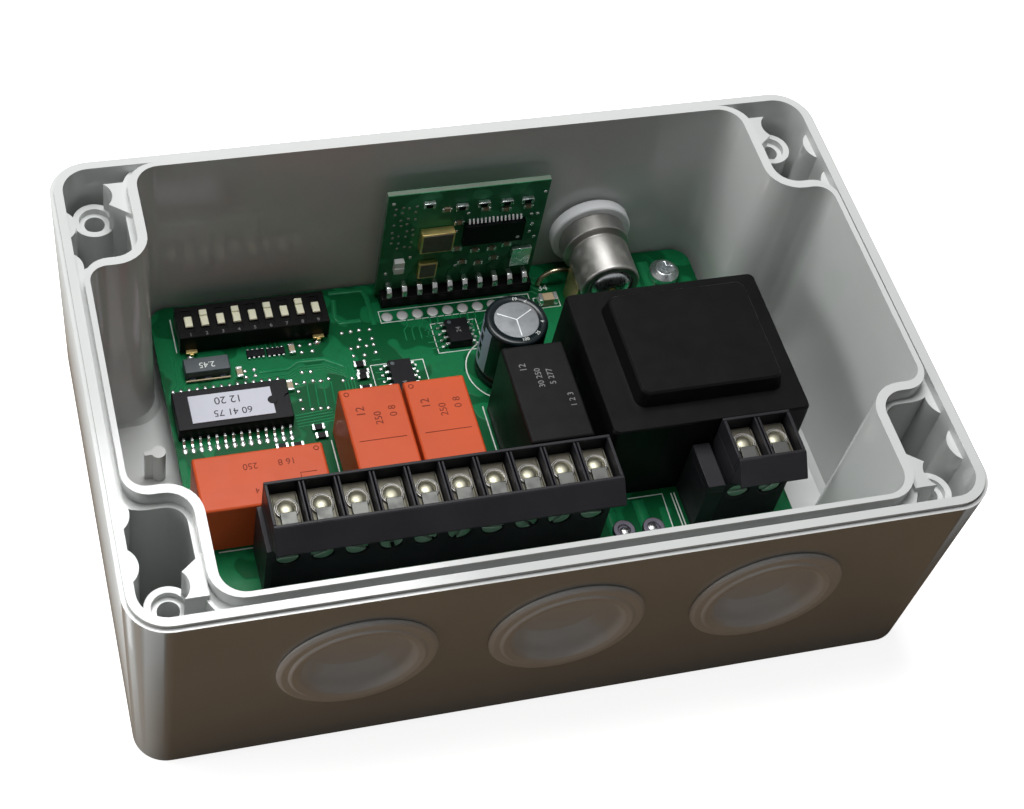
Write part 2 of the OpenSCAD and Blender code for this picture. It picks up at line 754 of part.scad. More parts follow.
module radio_chip_parts() {
    row_step = 3.57;
    color("peru") {
        for (k = [0:3]) on_radio(-1.05 + k * row_step, 20.2, 2, 1, 0.7);
        on_radio(-6.45, 21.5, 2, 1, 0.7);
        on_radio(-3.4, 19.8, 1.6, 0.8, 0.5);
        for (x = [3, 6.4, 10]) on_radio(x, 18.5, 1.6, 0.8, 0.5);
        on_radio(-10, 7.3, 1.6, 2.6, 1.2);
    }
}

function slider_at(k) = dip_x + (k - (dip_ways + 1) / 2) * dip_pitch;

module dip_switch_body() {
    channel_w = slider_w + 2 * slider_gap;
    channel_l = slider_foot + 2 * (slider_travel + slider_gap);
    color("dimgray") difference() {
        translate([dip_x, dip_y, top_z]) block(dip_l, dip_w, dip_h);
        for (k = [1:dip_ways]) translate([slider_at(k), dip_y - 0.4, slider_floor_z])
            block(channel_w, channel_l, channel_d + cut);
    }
}

// Slider of the coding switch: a split knob on the even ways, a single one on the odd ways
module dip_slider(k) {
    foot_h = channel_d - 0.9;
    half = (slider_foot - knob_gap) / 2;
    tall = channel_d + knob_up;
    color("ivory") translate([slider_at(k), dip_y - 0.4, slider_floor_z + seat]) {
        block(slider_w, slider_foot, foot_h);
        if (k % 2 == 1) block(slider_w, knob_l, tall);
        else for (s = [-1, 1]) translate([0, s * (half + knob_gap) / 2, 0]) block(slider_w, half, tall);
    }
}

module dip_slider_1() { dip_slider(1); }
module dip_slider_2() { dip_slider(2); }
module dip_slider_3() { dip_slider(3); }
module dip_slider_4() { dip_slider(4); }
module dip_slider_5() { dip_slider(5); }
module dip_slider_6() { dip_slider(6); }
module dip_slider_7() { dip_slider(7); }
module dip_slider_8() { dip_slider(8); }
module dip_slider_9() { dip_slider(9); }

// Gold contact tabs at the two ends of the switch, front and rear, each with a leg and a solder bead
module dip_switch_pins() {
    tab_w = 3;
    tab_h = 1.4;
    tab_t = 0.25;
    leg_w = 0.9;
    leg_h = 1.4;
    bead_r = 0.55;
    color("gold") for (k = [1, dip_ways], s = [0, 1])
        translate([slider_at(k), dip_y, top_z]) mirror([0, s, 0]) translate([0, dip_w / 2 + seat, 0]) {
            translate([-tab_w / 2, 0, leg_h]) cube([tab_w, tab_t, tab_h]);
            translate([-leg_w / 2, 0, 0]) cube([leg_w, tab_t, leg_h + seat]);
            translate([0, bead_r, 0]) cylinder(r1 = bead_r, r2 = bead_r / 2, h = bead_r, $fn = 24);
        }
}

// Gull-wing leads along both long sides of a chip
module gull_leads(n, pitch, body_w, h, reach) {
    lead_w = 0.42;
    lead_t = 0.2;
    for (k = [0:n - 1], s = [-1, 1]) translate([(k - (n - 1) / 2) * pitch, 0, 0])
        mirror([0, s > 0 ? 1 : 0, 0]) translate([-lead_w / 2, 0, 0]) rotate([90, 0, 90])
        linear_extrude(lead_w) polygon([
            [-body_w / 2 - seat, h / 2], [-body_w / 2 - seat, h / 2 + lead_t],
            [-body_w / 2 - reach / 2, h / 2 + lead_t], [-body_w / 2 - reach / 2 - lead_t, lead_t],
            [-body_w / 2 - reach, lead_t], [-body_w / 2 - reach, 0],
            [-body_w / 2 - reach / 2, 0], [-body_w / 2 - reach / 2 + lead_t, h / 2]]);
}

module controller_chip() {
    notch_r = 0.9;
    color("dimgray") translate([mcu_x, mcu_y, top_z]) difference() {
        translate([0, 0, 0.15]) moulded_block(mcu_l, mcu_w, mcu_h - 0.15, 0.3);
        translate([mcu_l / 2, 0, mcu_h - 0.25]) cylinder(r = notch_r, h = 1, $fn = 32);
    }
}

module controller_leads() {
    color("silver") translate([mcu_x, mcu_y, top_z]) gull_leads(14, lead_pitch, mcu_w, 1.5, 1.4);
}

module controller_label() {
    color("white") translate([mcu_x - 0.2, mcu_y - 0.15, top_z + mcu_h]) block(label_l, label_w, label_t);
}

module resonator() {
    length = 7.2;
    depth = 2.9;
    height = 1.9;
    foot_l = 0.9;
    foot_w = 0.5;
    foot_step = 2.4;
    color("slategray") translate([left_end + 7.15, rear_edge - 13.4, top_z]) {
        moulded_block(length, depth, height, 0.25);
        for (k = [-1, 0, 1]) translate([k * foot_step, -(depth + foot_w) / 2, 0])
            block(foot_l, foot_w, foot_w);
    }
}

// Small chip: a body and a row of leads along each long side, turned to lie across the board
module cross_chip(length, leads) {
    body_w = 3.9;
    body_h = 1.6;
    stand = 0.15;
    translate([0, 0, stand]) rotate([0, 0, 90]) moulded_block(length, body_w, body_h, 0.2);
    rotate([0, 0, 90]) gull_leads(leads, lead_pitch, body_w, 1, 1);
}

module memory_chip() {
    color("dimgray") translate([left_end + 48.15, rear_edge - 12.7, top_z]) cross_chip(4.9, 4);
}

module driver_chip() {
    color("dimgray") translate([left_end + 37.15, rear_edge - 21.9, top_z]) cross_chip(9.9, 8);
}

// Chip resistors and capacitors, and two resistor arrays between the controller and the relays
module chip_parts() {
    part_l = 3.2;
    part_w = 1.6;
    flat_h = 0.6;
    array_step = 2.2;
    column_step = 2.4;
    color("peru") {
        translate([right_end - 26.85, rear_edge - 8.1, top_z]) block(part_l, part_w, part_w);
        translate([left_end + 14.25, rear_edge - 12.9, top_z]) block(part_l, part_w, flat_h);
        translate([left_end + 18.55, rear_edge - 12.7, top_z]) block(part_l, part_w, flat_h);
    }
    color("dimgray") {
        for (k = [0:2], y = [-18.7, -25.9])
            translate([left_end + 21.75 + k * array_step, rear_edge + y, top_z]) block(1, 2, flat_h);
        for (k = [0:3]) translate([left_end + 31.15, rear_edge - 23.3 + k * column_step, top_z])
            block(2, 1.2, flat_h);
    }
}

module relay_left() {
    color("orangered") translate([relay_left_x, relay_left_y, top_z])
        moulded_block(relay_l, relay_w, relay_h);
}

// Relay that stands across the board, close behind the terminals
module cross_relay(x) {
    color("orangered") translate([x, term_back_y + fit + relay_cross_l / 2, top_z])
        moulded_block(relay_w, relay_cross_l, relay_h);
}

module relay_middle() { cross_relay(relay_middle_x); }
module relay_right() { cross_relay(relay_middle_x + relay_w + relay_gap); }

module power_relay() {
    color("darkslategray") translate([power_relay_x, power_relay_y, top_z])
        moulded_block(power_relay_w, power_relay_l, power_relay_h);
}

// Radial capacitor: sleeve with a crimp groove, rolled shoulders and a scored top
module capacitor() {
    r = cap_d / 2;
    rim = 0.7;
    color("darkslategray") translate([cap_x, cap_y, top_z]) difference() {
        rotate_extrude($fn = 64) polygon([
            [0, 0.3], [r - 0.8, 0.3], [r - 0.8, 0], [r - 0.3, 0], [r, 0.4], [r, 1.5], [r - 0.4, 1.9],
            [r, 2.3], [r, cap_h - 0.5], [r - 0.4, cap_h], [r - rim, cap_h], [r - rim - 0.2, cap_h - 0.25],
            [0, cap_h - 0.25]]);
        for (a = [45, 135]) rotate([0, 0, a]) translate([0, 0, cap_h - 0.4])
            block(cap_d - 3, 0.25, 1);
    }
}

// Encapsulated transformer: tapered block with a raised pad
module transformer() {
    lean = 0.3;
    edge = 0.5;
    pad_lean = 0.8;
    skin = 0.01;
    color("darkslategray") translate([trafo_x, trafo_y, top_z]) {
        hull() {
            slab(trafo_l / 2, trafo_w / 2, 1, skin, $fn = 24);
            translate([0, 0, trafo_h - edge])
                slab(trafo_l / 2 - lean, trafo_w / 2 - lean, 1, skin, $fn = 24);
            translate([0, 0, trafo_h - skin])
                slab(trafo_l / 2 - lean - edge / 2, trafo_w / 2 - lean - edge / 2, 1, skin, $fn = 24);
        }
        translate([0.8, 0.5, trafo_h - 0.5]) hull() {
            slab(trafo_pad_l / 2 + pad_lean, trafo_pad_w / 2 + pad_lean, 1.6, skin, $fn = 24);
            translate([0, 0, trafo_pad_h + 0.2])
                slab(trafo_pad_l / 2 + 0.2, trafo_pad_w / 2 + 0.2, 1.4, skin, $fn = 24);
            translate([0, 0, trafo_pad_h + 0.5 - skin])
                slab(trafo_pad_l / 2 - 0.1, trafo_pad_w / 2 - 0.1, 1.2, skin, $fn = 24);
        }
    }
}

function cell_x(mid_x, ways, k) = mid_x + (k - (ways + 1) / 2) * term_pitch;

// Side view of a terminal housing, extruded along its length
module housing_section() {
    polygon([[term_back_y, 0], [term_back_y, term_h], [term_front_y, term_h],
        [term_front_y, term_brow_z], [term_face_y, term_brow_z], [term_face_y, 0]]);
}

// Terminal housing: open cells from the top, screw bores from the front and a shoulder on the left
module housing(mid_x, ways, shoulder, shoulder_gap) {
    len = ways * term_pitch;
    left = mid_x - len / 2;
    cell_w = term_pitch - term_web;
    cell_back = term_back_y - term_rear_wall;
    cell_front = term_front_y + term_front_wall;
    head_bore = term_brow + term_screw_head + 2 * screw_gap + cut;
    color("dimgray") difference() {
        union() {
            translate([left - 0.2, 0, top_z]) rotate([90, 0, 90])
                linear_extrude(len + 0.4) housing_section();
            translate([left - shoulder - shoulder_gap, term_front_y, top_z])
                cube([shoulder, term_depth, shoulder_h]);
            translate([left - shoulder - shoulder_gap, term_face_y + 1, top_z])
                cube([shoulder + shoulder_gap + 1, term_depth - 3, shoulder_h - 1.5]);
        }
        for (k = [1:ways]) {
            translate([cell_x(mid_x, ways, k) - cell_w / 2, cell_front, top_z + term_h - cell_depth])
                cube([cell_w, cell_back - cell_front, cell_depth + cut]);
            translate([cell_x(mid_x, ways, k), term_front_y - cut, top_z + term_screw_z])
                rotate([-90, 0, 0]) {
                    cylinder(d = term_screw_d + 2 * screw_gap, h = head_bore);
                    cylinder(d = term_shank_d + 2 * screw_gap, h = head_bore + term_shank_l + screw_gap);
                }
        }
    }
}

// Nickel clamp in a cell: an upright round post with a domed head and a square leaf in front
module clamp_piece() {
    cell_w = term_pitch - term_web - 2 * seat;
    post_d = 3.1;
    floor_z = term_h - cell_depth;
    back = term_back_y - term_rear_wall - seat;
    dome_z = term_h - 2.2;
    leaf_z = term_h - 2.4;
    wall = 0.4;
    color("silver") {
        translate([0, back - wall / 2, floor_z]) block(cell_w, wall, cell_depth - 1);
        for (s = [-1, 1]) translate([s * (cell_w - wall) / 2, back - 2.2, floor_z])
            block(wall, 4.4, cell_depth - 1.2);
        translate([-0.1, back - 2.2, floor_z]) {
            cylinder(d = post_d, h = dome_z - floor_z, $fn = 32);
            translate([0, 0, dome_z - floor_z]) cylinder(d1 = post_d, d2 = post_d - 1, h = 0.5, $fn = 32);
            translate([0, 0, dome_z - floor_z + 0.5]) cylinder(d1 = post_d - 1, d2 = 0.8, h = 0.4, $fn = 32);
        }
        translate([0.3, back - 2.2 - post_d / 2 - 0.2, floor_z]) block(2.3, 1.4, leaf_z - floor_z);
    }
}

module clamps(mid_x, ways) {
    for (k = [1:ways]) translate([cell_x(mid_x, ways, k), 0, top_z]) clamp_piece();
}

// Slotted terminal screw lying along Y, its head in the lower front of the housing
module terminal_screw(mid_x, ways, k, turn) {
    color("gray") translate([cell_x(mid_x, ways, k), term_face_y + screw_gap, top_z + term_screw_z])
        rotate([-90, 0, 0]) rotate([0, 0, turn]) difference() {
            union() {
                cylinder(d = term_screw_d, h = term_screw_head);
                cylinder(d = term_shank_d, h = term_screw_head + term_shank_l - term_brow);
            }
            translate([0, 0, -cut]) block(term_screw_d + 1, slot_w, slot_d + cut);
        }
}

module terminal_block() { housing(term_x, term_ways, shoulder_w, 0); }
module terminal_clamps() { clamps(term_x, term_ways); }
module mains_block() { housing(mains_x, mains_ways, end_block_w, 0.8); }
module mains_clamps() { clamps(mains_x, mains_ways); }

module terminal_screw_1() { terminal_screw(term_x, term_ways, 1, 0); }
module terminal_screw_2() { terminal_screw(term_x, term_ways, 2, 150); }
module terminal_screw_3() { terminal_screw(term_x, term_ways, 3, 20); }
module terminal_screw_4() { terminal_screw(term_x, term_ways, 4, 75); }
module terminal_screw_5() { terminal_screw(term_x, term_ways, 5, 35); }
module terminal_screw_6() { terminal_screw(term_x, term_ways, 6, 110); }
module terminal_screw_7() { terminal_screw(term_x, term_ways, 7, 10); }
module terminal_screw_8() { terminal_screw(term_x, term_ways, 8, 50); }
module terminal_screw_9() { terminal_screw(term_x, term_ways, 9, 125); }
module terminal_screw_10() { terminal_screw(term_x, term_ways, 10, 5); }
module mains_screw_1() { terminal_screw(mains_x, mains_ways, 1, 0); }
module mains_screw_2() { terminal_screw(mains_x, mains_ways, 2, 135); }

// Two round-bodied solder terminals between the terminal blocks
module ring_terminals() {
    color("gray") for (p = [[27.65, 16.7], [22.95, 16.4]])
        translate([right_end - p[0], front_edge + p[1], top_z]) difference() {
            cylinder(d = ring_d, h = 0.8);
            translate([0, 0, 0.5]) cylinder(d = ring_d / 2, h = 1);
        }
}

enclosure_base();
grommet_left();
grommet_middle();
grommet_right();
main_board();
board_screws();
antenna_socket();
antenna_insulator();
antenna_contact();
antenna_washer();
antenna_bracket();
antenna_link();
radio_board();
radio_header();
radio_pins();
radio_chip();
radio_crystals();
radio_chip_parts();
dip_switch_body();
dip_slider_1();
dip_slider_2();
dip_slider_3();
dip_slider_4();
dip_slider_5();
dip_slider_6();
dip_slider_7();
dip_slider_8();
dip_slider_9();
dip_switch_pins();
controller_chip();
controller_leads();
controller_label();
resonator();
memory_chip();
driver_chip();
chip_parts();
relay_left();
relay_middle();
relay_right();
power_relay();
capacitor();
transformer();
terminal_block();
terminal_clamps();
mains_block();
mains_clamps();
terminal_screw_1();
terminal_screw_2();
terminal_screw_3();
terminal_screw_4();
terminal_screw_5();
terminal_screw_6();
terminal_screw_7();
terminal_screw_8();
terminal_screw_9();
terminal_screw_10();
mains_screw_1();
mains_screw_2();
ring_terminals();
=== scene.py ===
"""Radio receiver in the open base of a wall box: finished pieces, materials and stage round its frame."""
import math

import bmesh
import bpy
from bpy.props import FloatProperty, FloatVectorProperty, PointerProperty
from mathutils import Euler, Matrix, Vector


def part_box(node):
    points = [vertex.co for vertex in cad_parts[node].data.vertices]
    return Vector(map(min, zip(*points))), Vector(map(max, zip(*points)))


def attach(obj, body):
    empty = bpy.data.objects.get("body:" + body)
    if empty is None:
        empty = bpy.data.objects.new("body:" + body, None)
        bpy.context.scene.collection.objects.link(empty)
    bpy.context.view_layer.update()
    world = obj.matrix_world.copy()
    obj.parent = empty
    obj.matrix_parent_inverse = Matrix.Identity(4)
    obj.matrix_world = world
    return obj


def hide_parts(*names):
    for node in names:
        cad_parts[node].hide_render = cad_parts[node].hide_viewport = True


bl_info = {
    "name": "Radio Receiver Base",
    "version": (1, 0, 0),
    "blender": (4, 5, 0),
    "location": "View3D > Sidebar > Receiver",
    "description": "Dresses the packed radio receiver with finished pieces, materials and a stage",
    "category": "Object",
}

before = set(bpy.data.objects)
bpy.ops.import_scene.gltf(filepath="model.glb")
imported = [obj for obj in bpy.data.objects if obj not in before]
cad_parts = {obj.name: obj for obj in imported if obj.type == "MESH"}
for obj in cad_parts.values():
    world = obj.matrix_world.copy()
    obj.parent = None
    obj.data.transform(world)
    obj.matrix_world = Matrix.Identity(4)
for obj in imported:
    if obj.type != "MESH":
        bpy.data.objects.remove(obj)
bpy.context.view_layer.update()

MM = 0.001
RECEIVER = "receiver"
SLIDERS = 9
TERMINALS = 10
MAINS_TERMINALS = 2


def box_mm(node):
    """Lowest and highest corner of a node at rest, in millimetres."""
    low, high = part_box(node)
    return Vector(low) / MM, Vector(high) / MM


def middle_mm(node):
    """Middle of a node at rest, in millimetres."""
    low, high = box_mm(node)
    return (low + high) / 2


def middle_x(node):
    """Middle of a node along X, in millimetres."""
    low, high = box_mm(node)
    return (low.x + high.x) / 2


# Level of the board's top, half the thickness of a lacquered track, and how far print stands off, in mm
BOARD_TOP = box_mm("main_board")[1].z
LACQUER = 0.015
PRINT_LIFT = 0.005

# Corners of a CAD copy that are nearer than this are one, and faces within this angle are one flat face
MERGED = 0.002 * MM
FLAT_DEGREES = 0.4

# Edges sharper than this are rounded, in so many steps, where a piece asks for nothing else
SHARP_DEGREES = 32.0
EDGE_STEPS = 2


# Sizes and colours that a user may change

class ReceiverSizes(bpy.types.PropertyGroup):
    """Sizes of the finishing detail."""

    moulded_edge: FloatProperty(
        name="Moulded edge", description="Rounding of the housing's edges", default=0.14 * MM,
        unit="LENGTH")
    part_edge: FloatProperty(
        name="Part edge", description="Rounding of the edges of moulded parts", default=0.22 * MM,
        unit="LENGTH")
    metal_edge: FloatProperty(
        name="Metal edge", description="Rounding of the edges of metal parts", default=0.07 * MM,
        unit="LENGTH")
    print_width: FloatProperty(
        name="Print width", description="Width of the white printed lines on the board", default=0.2 * MM,
        unit="LENGTH")
    trace_width: FloatProperty(
        name="Trace width", description="Width of the fine tracks under the green lacquer",
        default=0.24 * MM, unit="LENGTH")


class ReceiverColours(bpy.types.PropertyGroup):
    """Base colours of the finishes, as linear colour."""

    housing: FloatVectorProperty(
        name="Housing", description="Light grey moulded housing", subtype="COLOR",
        default=(0.64, 0.655, 0.645))
    board: FloatVectorProperty(
        name="Board", description="Green lacquer over bare board", subtype="COLOR",
        default=(0.003, 0.088, 0.028))
    copper_green: FloatVectorProperty(
        name="Lacquered copper", description="Green lacquer over copper", subtype="COLOR",
        default=(0.008, 0.165, 0.058))
    relay: FloatVectorProperty(
        name="Relay", description="Orange relay covers", subtype="COLOR", default=(0.60, 0.088, 0.024))
    black: FloatVectorProperty(
        name="Black plastic", description="Black moulded parts", subtype="COLOR",
        default=(0.007, 0.007, 0.007))
    slider: FloatVectorProperty(
        name="Slider", description="Cream sliders of the coding switch", subtype="COLOR",
        default=(0.76, 0.75, 0.56))
    label: FloatVectorProperty(
        name="Label", description="Paper label of the controller", subtype="COLOR",
        default=(0.62, 0.635, 0.71))
    sleeve: FloatVectorProperty(
        name="Capacitor sleeve", description="Dark sleeve of the smoothing capacitor", subtype="COLOR",
        default=(0.006, 0.011, 0.013))


class ReceiverStage(bpy.types.PropertyGroup):
    """Camera and light."""

    camera_place: FloatVectorProperty(
        name="Camera place", description="Where the camera stands", subtype="TRANSLATION",
        default=(-75.15 * MM, -155.74 * MM, 248.85 * MM))
    camera_turn: FloatVectorProperty(
        name="Camera turn", description="How the camera is turned about X, Y and Z", subtype="EULER",
        default=(math.radians(36.308), math.radians(-6.126), math.radians(-13.604)))
    lens: FloatProperty(name="Lens", description="Focal length in millimetres", default=67.23)
    shift: FloatProperty(name="Shift", description="Sideways shift of the lens", default=0.0997)
    left_power: FloatProperty(
        name="Left light", description="Power of the low soft light at the left", default=1.25, unit="POWER")
    top_power: FloatProperty(
        name="Top light", description="Power of the soft light overhead", default=1.85, unit="POWER")
    room_light: FloatProperty(name="Room light", description="Strength of the light all round", default=0.05)
    mirrored_room: FloatProperty(
        name="Mirrored room", description="Extra brightness of the room in reflections", default=0.28)


def sizes():
    """The sizes that a user may change."""
    return bpy.context.scene.receiver_sizes


def colours():
    """The colours that a user may change."""
    return bpy.context.scene.receiver_colours


# Node trees written as sums and calls

class Value:
    """An output of a node. Arithmetic on it adds Math nodes to the same tree."""

    def __init__(self, recipe, socket):
        self.recipe = recipe
        self.socket = socket

    def sum(self, operation, first, second):
        """Work out two values, or a value and a number, by one Math node."""
        return self.recipe.node("ShaderNodeMath", {"operation": operation}, {0: first, 1: second})

    def __add__(self, other):
        return self.sum("ADD", self, other)

    def __radd__(self, other):
        return self.sum("ADD", other, self)

    def __mul__(self, other):
        return self.sum("MULTIPLY", self, other)

    def __rmul__(self, other):
        return self.sum("MULTIPLY", other, self)


class Recipe:
    """Nodes of one tree, each added by one call."""

    def __init__(self, tree):
        self.tree = tree

    @staticmethod
    def find(sockets, key):
        """A socket by its identifier, or else by its name or number."""
        matching = [one for one in sockets if one.identifier == key]
        return matching[0] if matching else sockets[key]

    def feed(self, socket, value):
        """Link a value to a socket, or set the socket to a plain number, colour or vector."""
        if isinstance(value, Value):
            self.tree.links.new(value.socket, socket)
        else:
            socket.default_value = value

    def node(self, kind, settings=None, sockets=None, out=0):
        """Add a node with its settings first and its sockets next, and return one of its outputs."""
        made = self.tree.nodes.new(kind)
        for name, value in (settings or {}).items():
            setattr(made, name, value)
        for key, value in (sockets or {}).items():
            self.feed(self.find(made.inputs, key), value)
        return Value(self, self.find(made.outputs, out))


class Finish(Recipe):
    """A procedural material. Its patterns follow Object coordinates, so they stay on the part."""

    def __init__(self, name):
        self.material = bpy.data.materials.new(name)
        self.material.use_nodes = True
        super().__init__(self.material.node_tree)
        self.shader = self.tree.nodes["Principled BSDF"]
        self.place = self.node("ShaderNodeTexCoord", out="Object")

    def clouds(self, size, detail=2.0, stretch=(1.0, 1.0, 1.0)):
        """Soft noise; size is in millimetres."""
        place = self.node("ShaderNodeMapping", sockets={"Vector": self.place, "Scale": stretch})
        return self.node("ShaderNodeTexNoise", sockets={
            "Vector": place, "Scale": 1 / (size * MM), "Detail": detail})

    def between(self, value, low, high):
        """Take a value's range to 0 and 1, and stop at its ends."""
        return self.node("ShaderNodeMapRange", {"clamp": True}, {
            "Value": value, "From Min": low, "From Max": high})

    def blend(self, factor, first, second):
        """Colour between two colours."""
        return self.node("ShaderNodeMix", {"data_type": "RGBA"}, {
            "Factor_Float": factor, "A_Color": first, "B_Color": second}, "Result_Color")

    def bump(self, height, depth):
        """Bump from a height between 0 and 1; depth is in millimetres."""
        return self.node("ShaderNodeBump", sockets={"Height": height, "Distance": depth * MM})

    def surface(self, sockets):
        """Fill the shader's own sockets."""
        for name, value in sockets.items():
            self.feed(self.shader.inputs[name], value)
        return self.material


def rgba(colour, factor=1.0):
    """Colour with full alpha, made darker or lighter by a factor."""
    return tuple(min(1.0, part * factor) for part in colour[:3]) + (1.0,)


def moulded(name, colour, roughness, grain, grain_depth, mottle=0.06, specular=0.5):
    """Moulded plastic: fine eroded grain, faint clouding and uneven gloss; lengths are in millimetres."""
    made = Finish(name)
    cloud_size, handled_size = 9.0, 2.5
    cloud = made.between(made.clouds(cloud_size, 3.0), 0.3, 0.7)
    fine = made.clouds(grain, 3.0)
    handled = made.between(made.clouds(handled_size, 4.0), 0.35, 0.75)
    return made.surface({
        "Base Color": made.blend(cloud, rgba(colour, 1 - mottle), rgba(colour, 1 + mottle)),
        "Roughness": roughness * 0.92 + handled * (roughness * 0.22),
        "Specular IOR Level": specular,
        "Normal": made.bump(fine, grain_depth)})


def metal(name, colour, roughness, stretch=(1.0, 1.0, 1.0), tarnish=0.25, depth=0.004):
    """Bare or plated metal: drawn grain and dull patches; depth is in millimetres."""
    made = Finish(name)
    grain_size, patch_size = 0.18, 1.6
    drawn = made.clouds(grain_size, 3.0, stretch)
    dull = made.between(made.clouds(patch_size, 4.0), 0.45, 0.75)
    return made.surface({
        "Base Color": made.blend(dull * tarnish * 2.0, rgba(colour), rgba(colour, 1 - tarnish)),
        "Metallic": 1.0,
        "Roughness": roughness + dull * 0.16 + drawn * 0.06,
        "Normal": made.bump(drawn, depth)})


def solder_mask(name, bare, copper):
    """Glossy green lacquer over bare board and copper, with the weave of the board showing faintly."""
    made = Finish(name)
    pour_size, cloud_size, thread = 5.5, 1.2, 0.5 * MM
    pour = made.between(made.clouds(pour_size, 1.0), 0.50, 0.53)
    weave = made.node("ShaderNodeTexChecker", sockets={"Vector": made.place, "Scale": 1 / thread}, out="Fac")
    cloud = made.clouds(cloud_size, 3.0)
    shade = made.between(cloud + weave * 0.05, 0.3, 0.8)
    lacquer = made.blend(pour, rgba(bare), rgba(copper))
    return made.surface({
        "Base Color": made.blend(shade * 0.25, lacquer, rgba(bare, 0.6)),
        "Roughness": 0.24 + cloud * 0.12,
        "Specular IOR Level": 0.10,
        "Normal": made.bump(pour * 0.8 + cloud * 0.2, 0.03)})


def paper(name, colour):
    """Matt paper: short fibres in the colour and in the relief."""
    made = Finish(name)
    fibres = made.clouds(0.16, 4.0, (1.0, 3.0, 1.0))
    return made.surface({
        "Base Color": made.blend(fibres, rgba(colour, 0.9), rgba(colour, 1.05)),
        "Roughness": 0.85, "Specular IOR Level": 0.2,
        "Normal": made.bump(fibres, 0.01)})


# What makes each finish, then its colour or the name of a user's colour, and the maker's other values
FINISHES = {
    "housing": (moulded, "housing", 0.13, 0.14, 0.002, 0.02, 0.5),
    "grommet": (moulded, (0.94, 0.96, 0.98), 0.30, 0.10, 0.006, 0.03, 0.8),
    "board": (solder_mask, "board", "copper_green"),
    "copper_green": (moulded, (0.012, 0.190, 0.070), 0.30, 0.3, 0.004, 0.12, 0.15),
    "radio_board": (solder_mask, (0.034, 0.190, 0.085), (0.050, 0.280, 0.130)),
    "print": (moulded, (0.72, 0.76, 0.73), 0.6, 0.08, 0.006, 0.08, 0.3),
    "faded_print": (moulded, (0.20, 0.20, 0.20), 0.6, 0.08, 0.004, 0.3, 0.2),
    "relay_print": (moulded, (0.20, 0.028, 0.012), 0.6, 0.08, 0.004, 0.2, 0.2),
    "ink": (moulded, (0.055, 0.055, 0.060), 0.7, 0.06, 0.004, 0.3, 0.2),
    "steel": (metal, (0.78, 0.82, 0.84), 0.22),
    "nickel": (metal, (0.46, 0.45, 0.43), 0.38, (1.0, 1.0, 0.2), 0.12),
    "clamp": (metal, (0.34, 0.33, 0.25), 0.36),
    "leaf": (metal, (0.11, 0.112, 0.106), 0.42, (1.0, 0.1, 1.0)),
    # The clamp metal at about a third of its brightness, for the plates deep in the cells: painted shade
    "clamp_dark": (metal, (0.10, 0.095, 0.075), 0.46),
    "tinned": (metal, (0.50, 0.50, 0.50), 0.50),
    "ring": (metal, (0.15, 0.14, 0.17), 0.36),
    "screw": (metal, (0.55, 0.68, 0.60), 0.42),
    "solder": (metal, (0.78, 0.80, 0.80), 0.20, (1.0, 1.0, 1.0), 0.15, 0.02),
    "gold": (metal, (0.86, 0.66, 0.28), 0.34),
    "crystal_lid": (metal, (0.17, 0.15, 0.13), 0.45),
    "via": (metal, (0.30, 0.32, 0.30), 0.40),
    "board_edge": (moulded, (0.10, 0.135, 0.10), 0.5, 0.1, 0.01, 0.2),
    "copper_wire": (metal, (0.62, 0.52, 0.36), 0.24, (0.2, 1.0, 1.0)),
    "white_plastic": (moulded, (0.95, 0.97, 1.00), 0.40, 0.2, 0.004, 0.02, 0.5),
    "tan_plate": (metal, (0.62, 0.50, 0.26), 0.32),
    "chip": (moulded, (0.006, 0.006, 0.008), 0.34, 0.06, 0.005, 0.15, 0.14),
    "chip_parts": (moulded, (0.34, 0.27, 0.18), 0.40, 0.1, 0.004, 0.2),
    "tan_ceramic": (moulded, (0.48, 0.38, 0.24), 0.40, 0.1, 0.004, 0.1),
    "black_plastic": (moulded, "black", 0.34, 0.10, 0.005, 0.2, 0.12),
    "cream_plastic": (moulded, "slider", 0.40, 0.12, 0.004, 0.06),
    "label": (paper, "label"),
    "resonator": (moulded, (0.055, 0.070, 0.080), 0.35, 0.1, 0.004, 0.2),
    "relay": (moulded, "relay", 0.40, 0.12, 0.006, 0.05, 0.22),
    "power_relay": (moulded, (0.009, 0.009, 0.009), 0.32, 0.10, 0.005, 0.2, 0.12),
    "capacitor": (moulded, "sleeve", 0.22, 0.3, 0.004, 0.15, 0.35),
    "can_top": (metal, (0.21, 0.22, 0.23), 0.46),
    "can_score": (metal, (0.80, 0.82, 0.84), 0.30),
    "cap_stripe": (moulded, (0.42, 0.49, 0.64), 0.34, 0.3, 0.004, 0.1, 0.4),
    "transformer": (moulded, (0.006, 0.006, 0.006), 0.34, 0.16, 0.006, 0.15, 0.10),
    "terminal": (moulded, (0.020, 0.019, 0.023), 0.38, 0.12, 0.005, 0.2, 0.20),
}


def finish(name):
    """The material of a finish, made the first time it is asked for."""
    known = bpy.data.materials.get("finish_" + name)
    if known:
        return known
    maker, *values = FINISHES[name]
    values = [getattr(colours(), value) if isinstance(value, str) else value for value in values]
    return maker("finish_" + name, *values)


# Meshes

def new_object(name, mesh):
    """Add an object with its data to the scene."""
    made = bpy.data.objects.new(name, mesh)
    bpy.context.scene.collection.objects.link(made)
    return made


def evaluated_mesh(source):
    """The mesh that an object's modifiers make, as plain data."""
    depsgraph = bpy.context.evaluated_depsgraph_get()
    return bpy.data.meshes.new_from_object(source.evaluated_get(depsgraph), depsgraph=depsgraph)


def settle(made, body, nodes=()):
    """Give a finished piece its body and the nodes that it stands for."""
    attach(made, body)
    if nodes:
        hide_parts(*nodes)
    return made


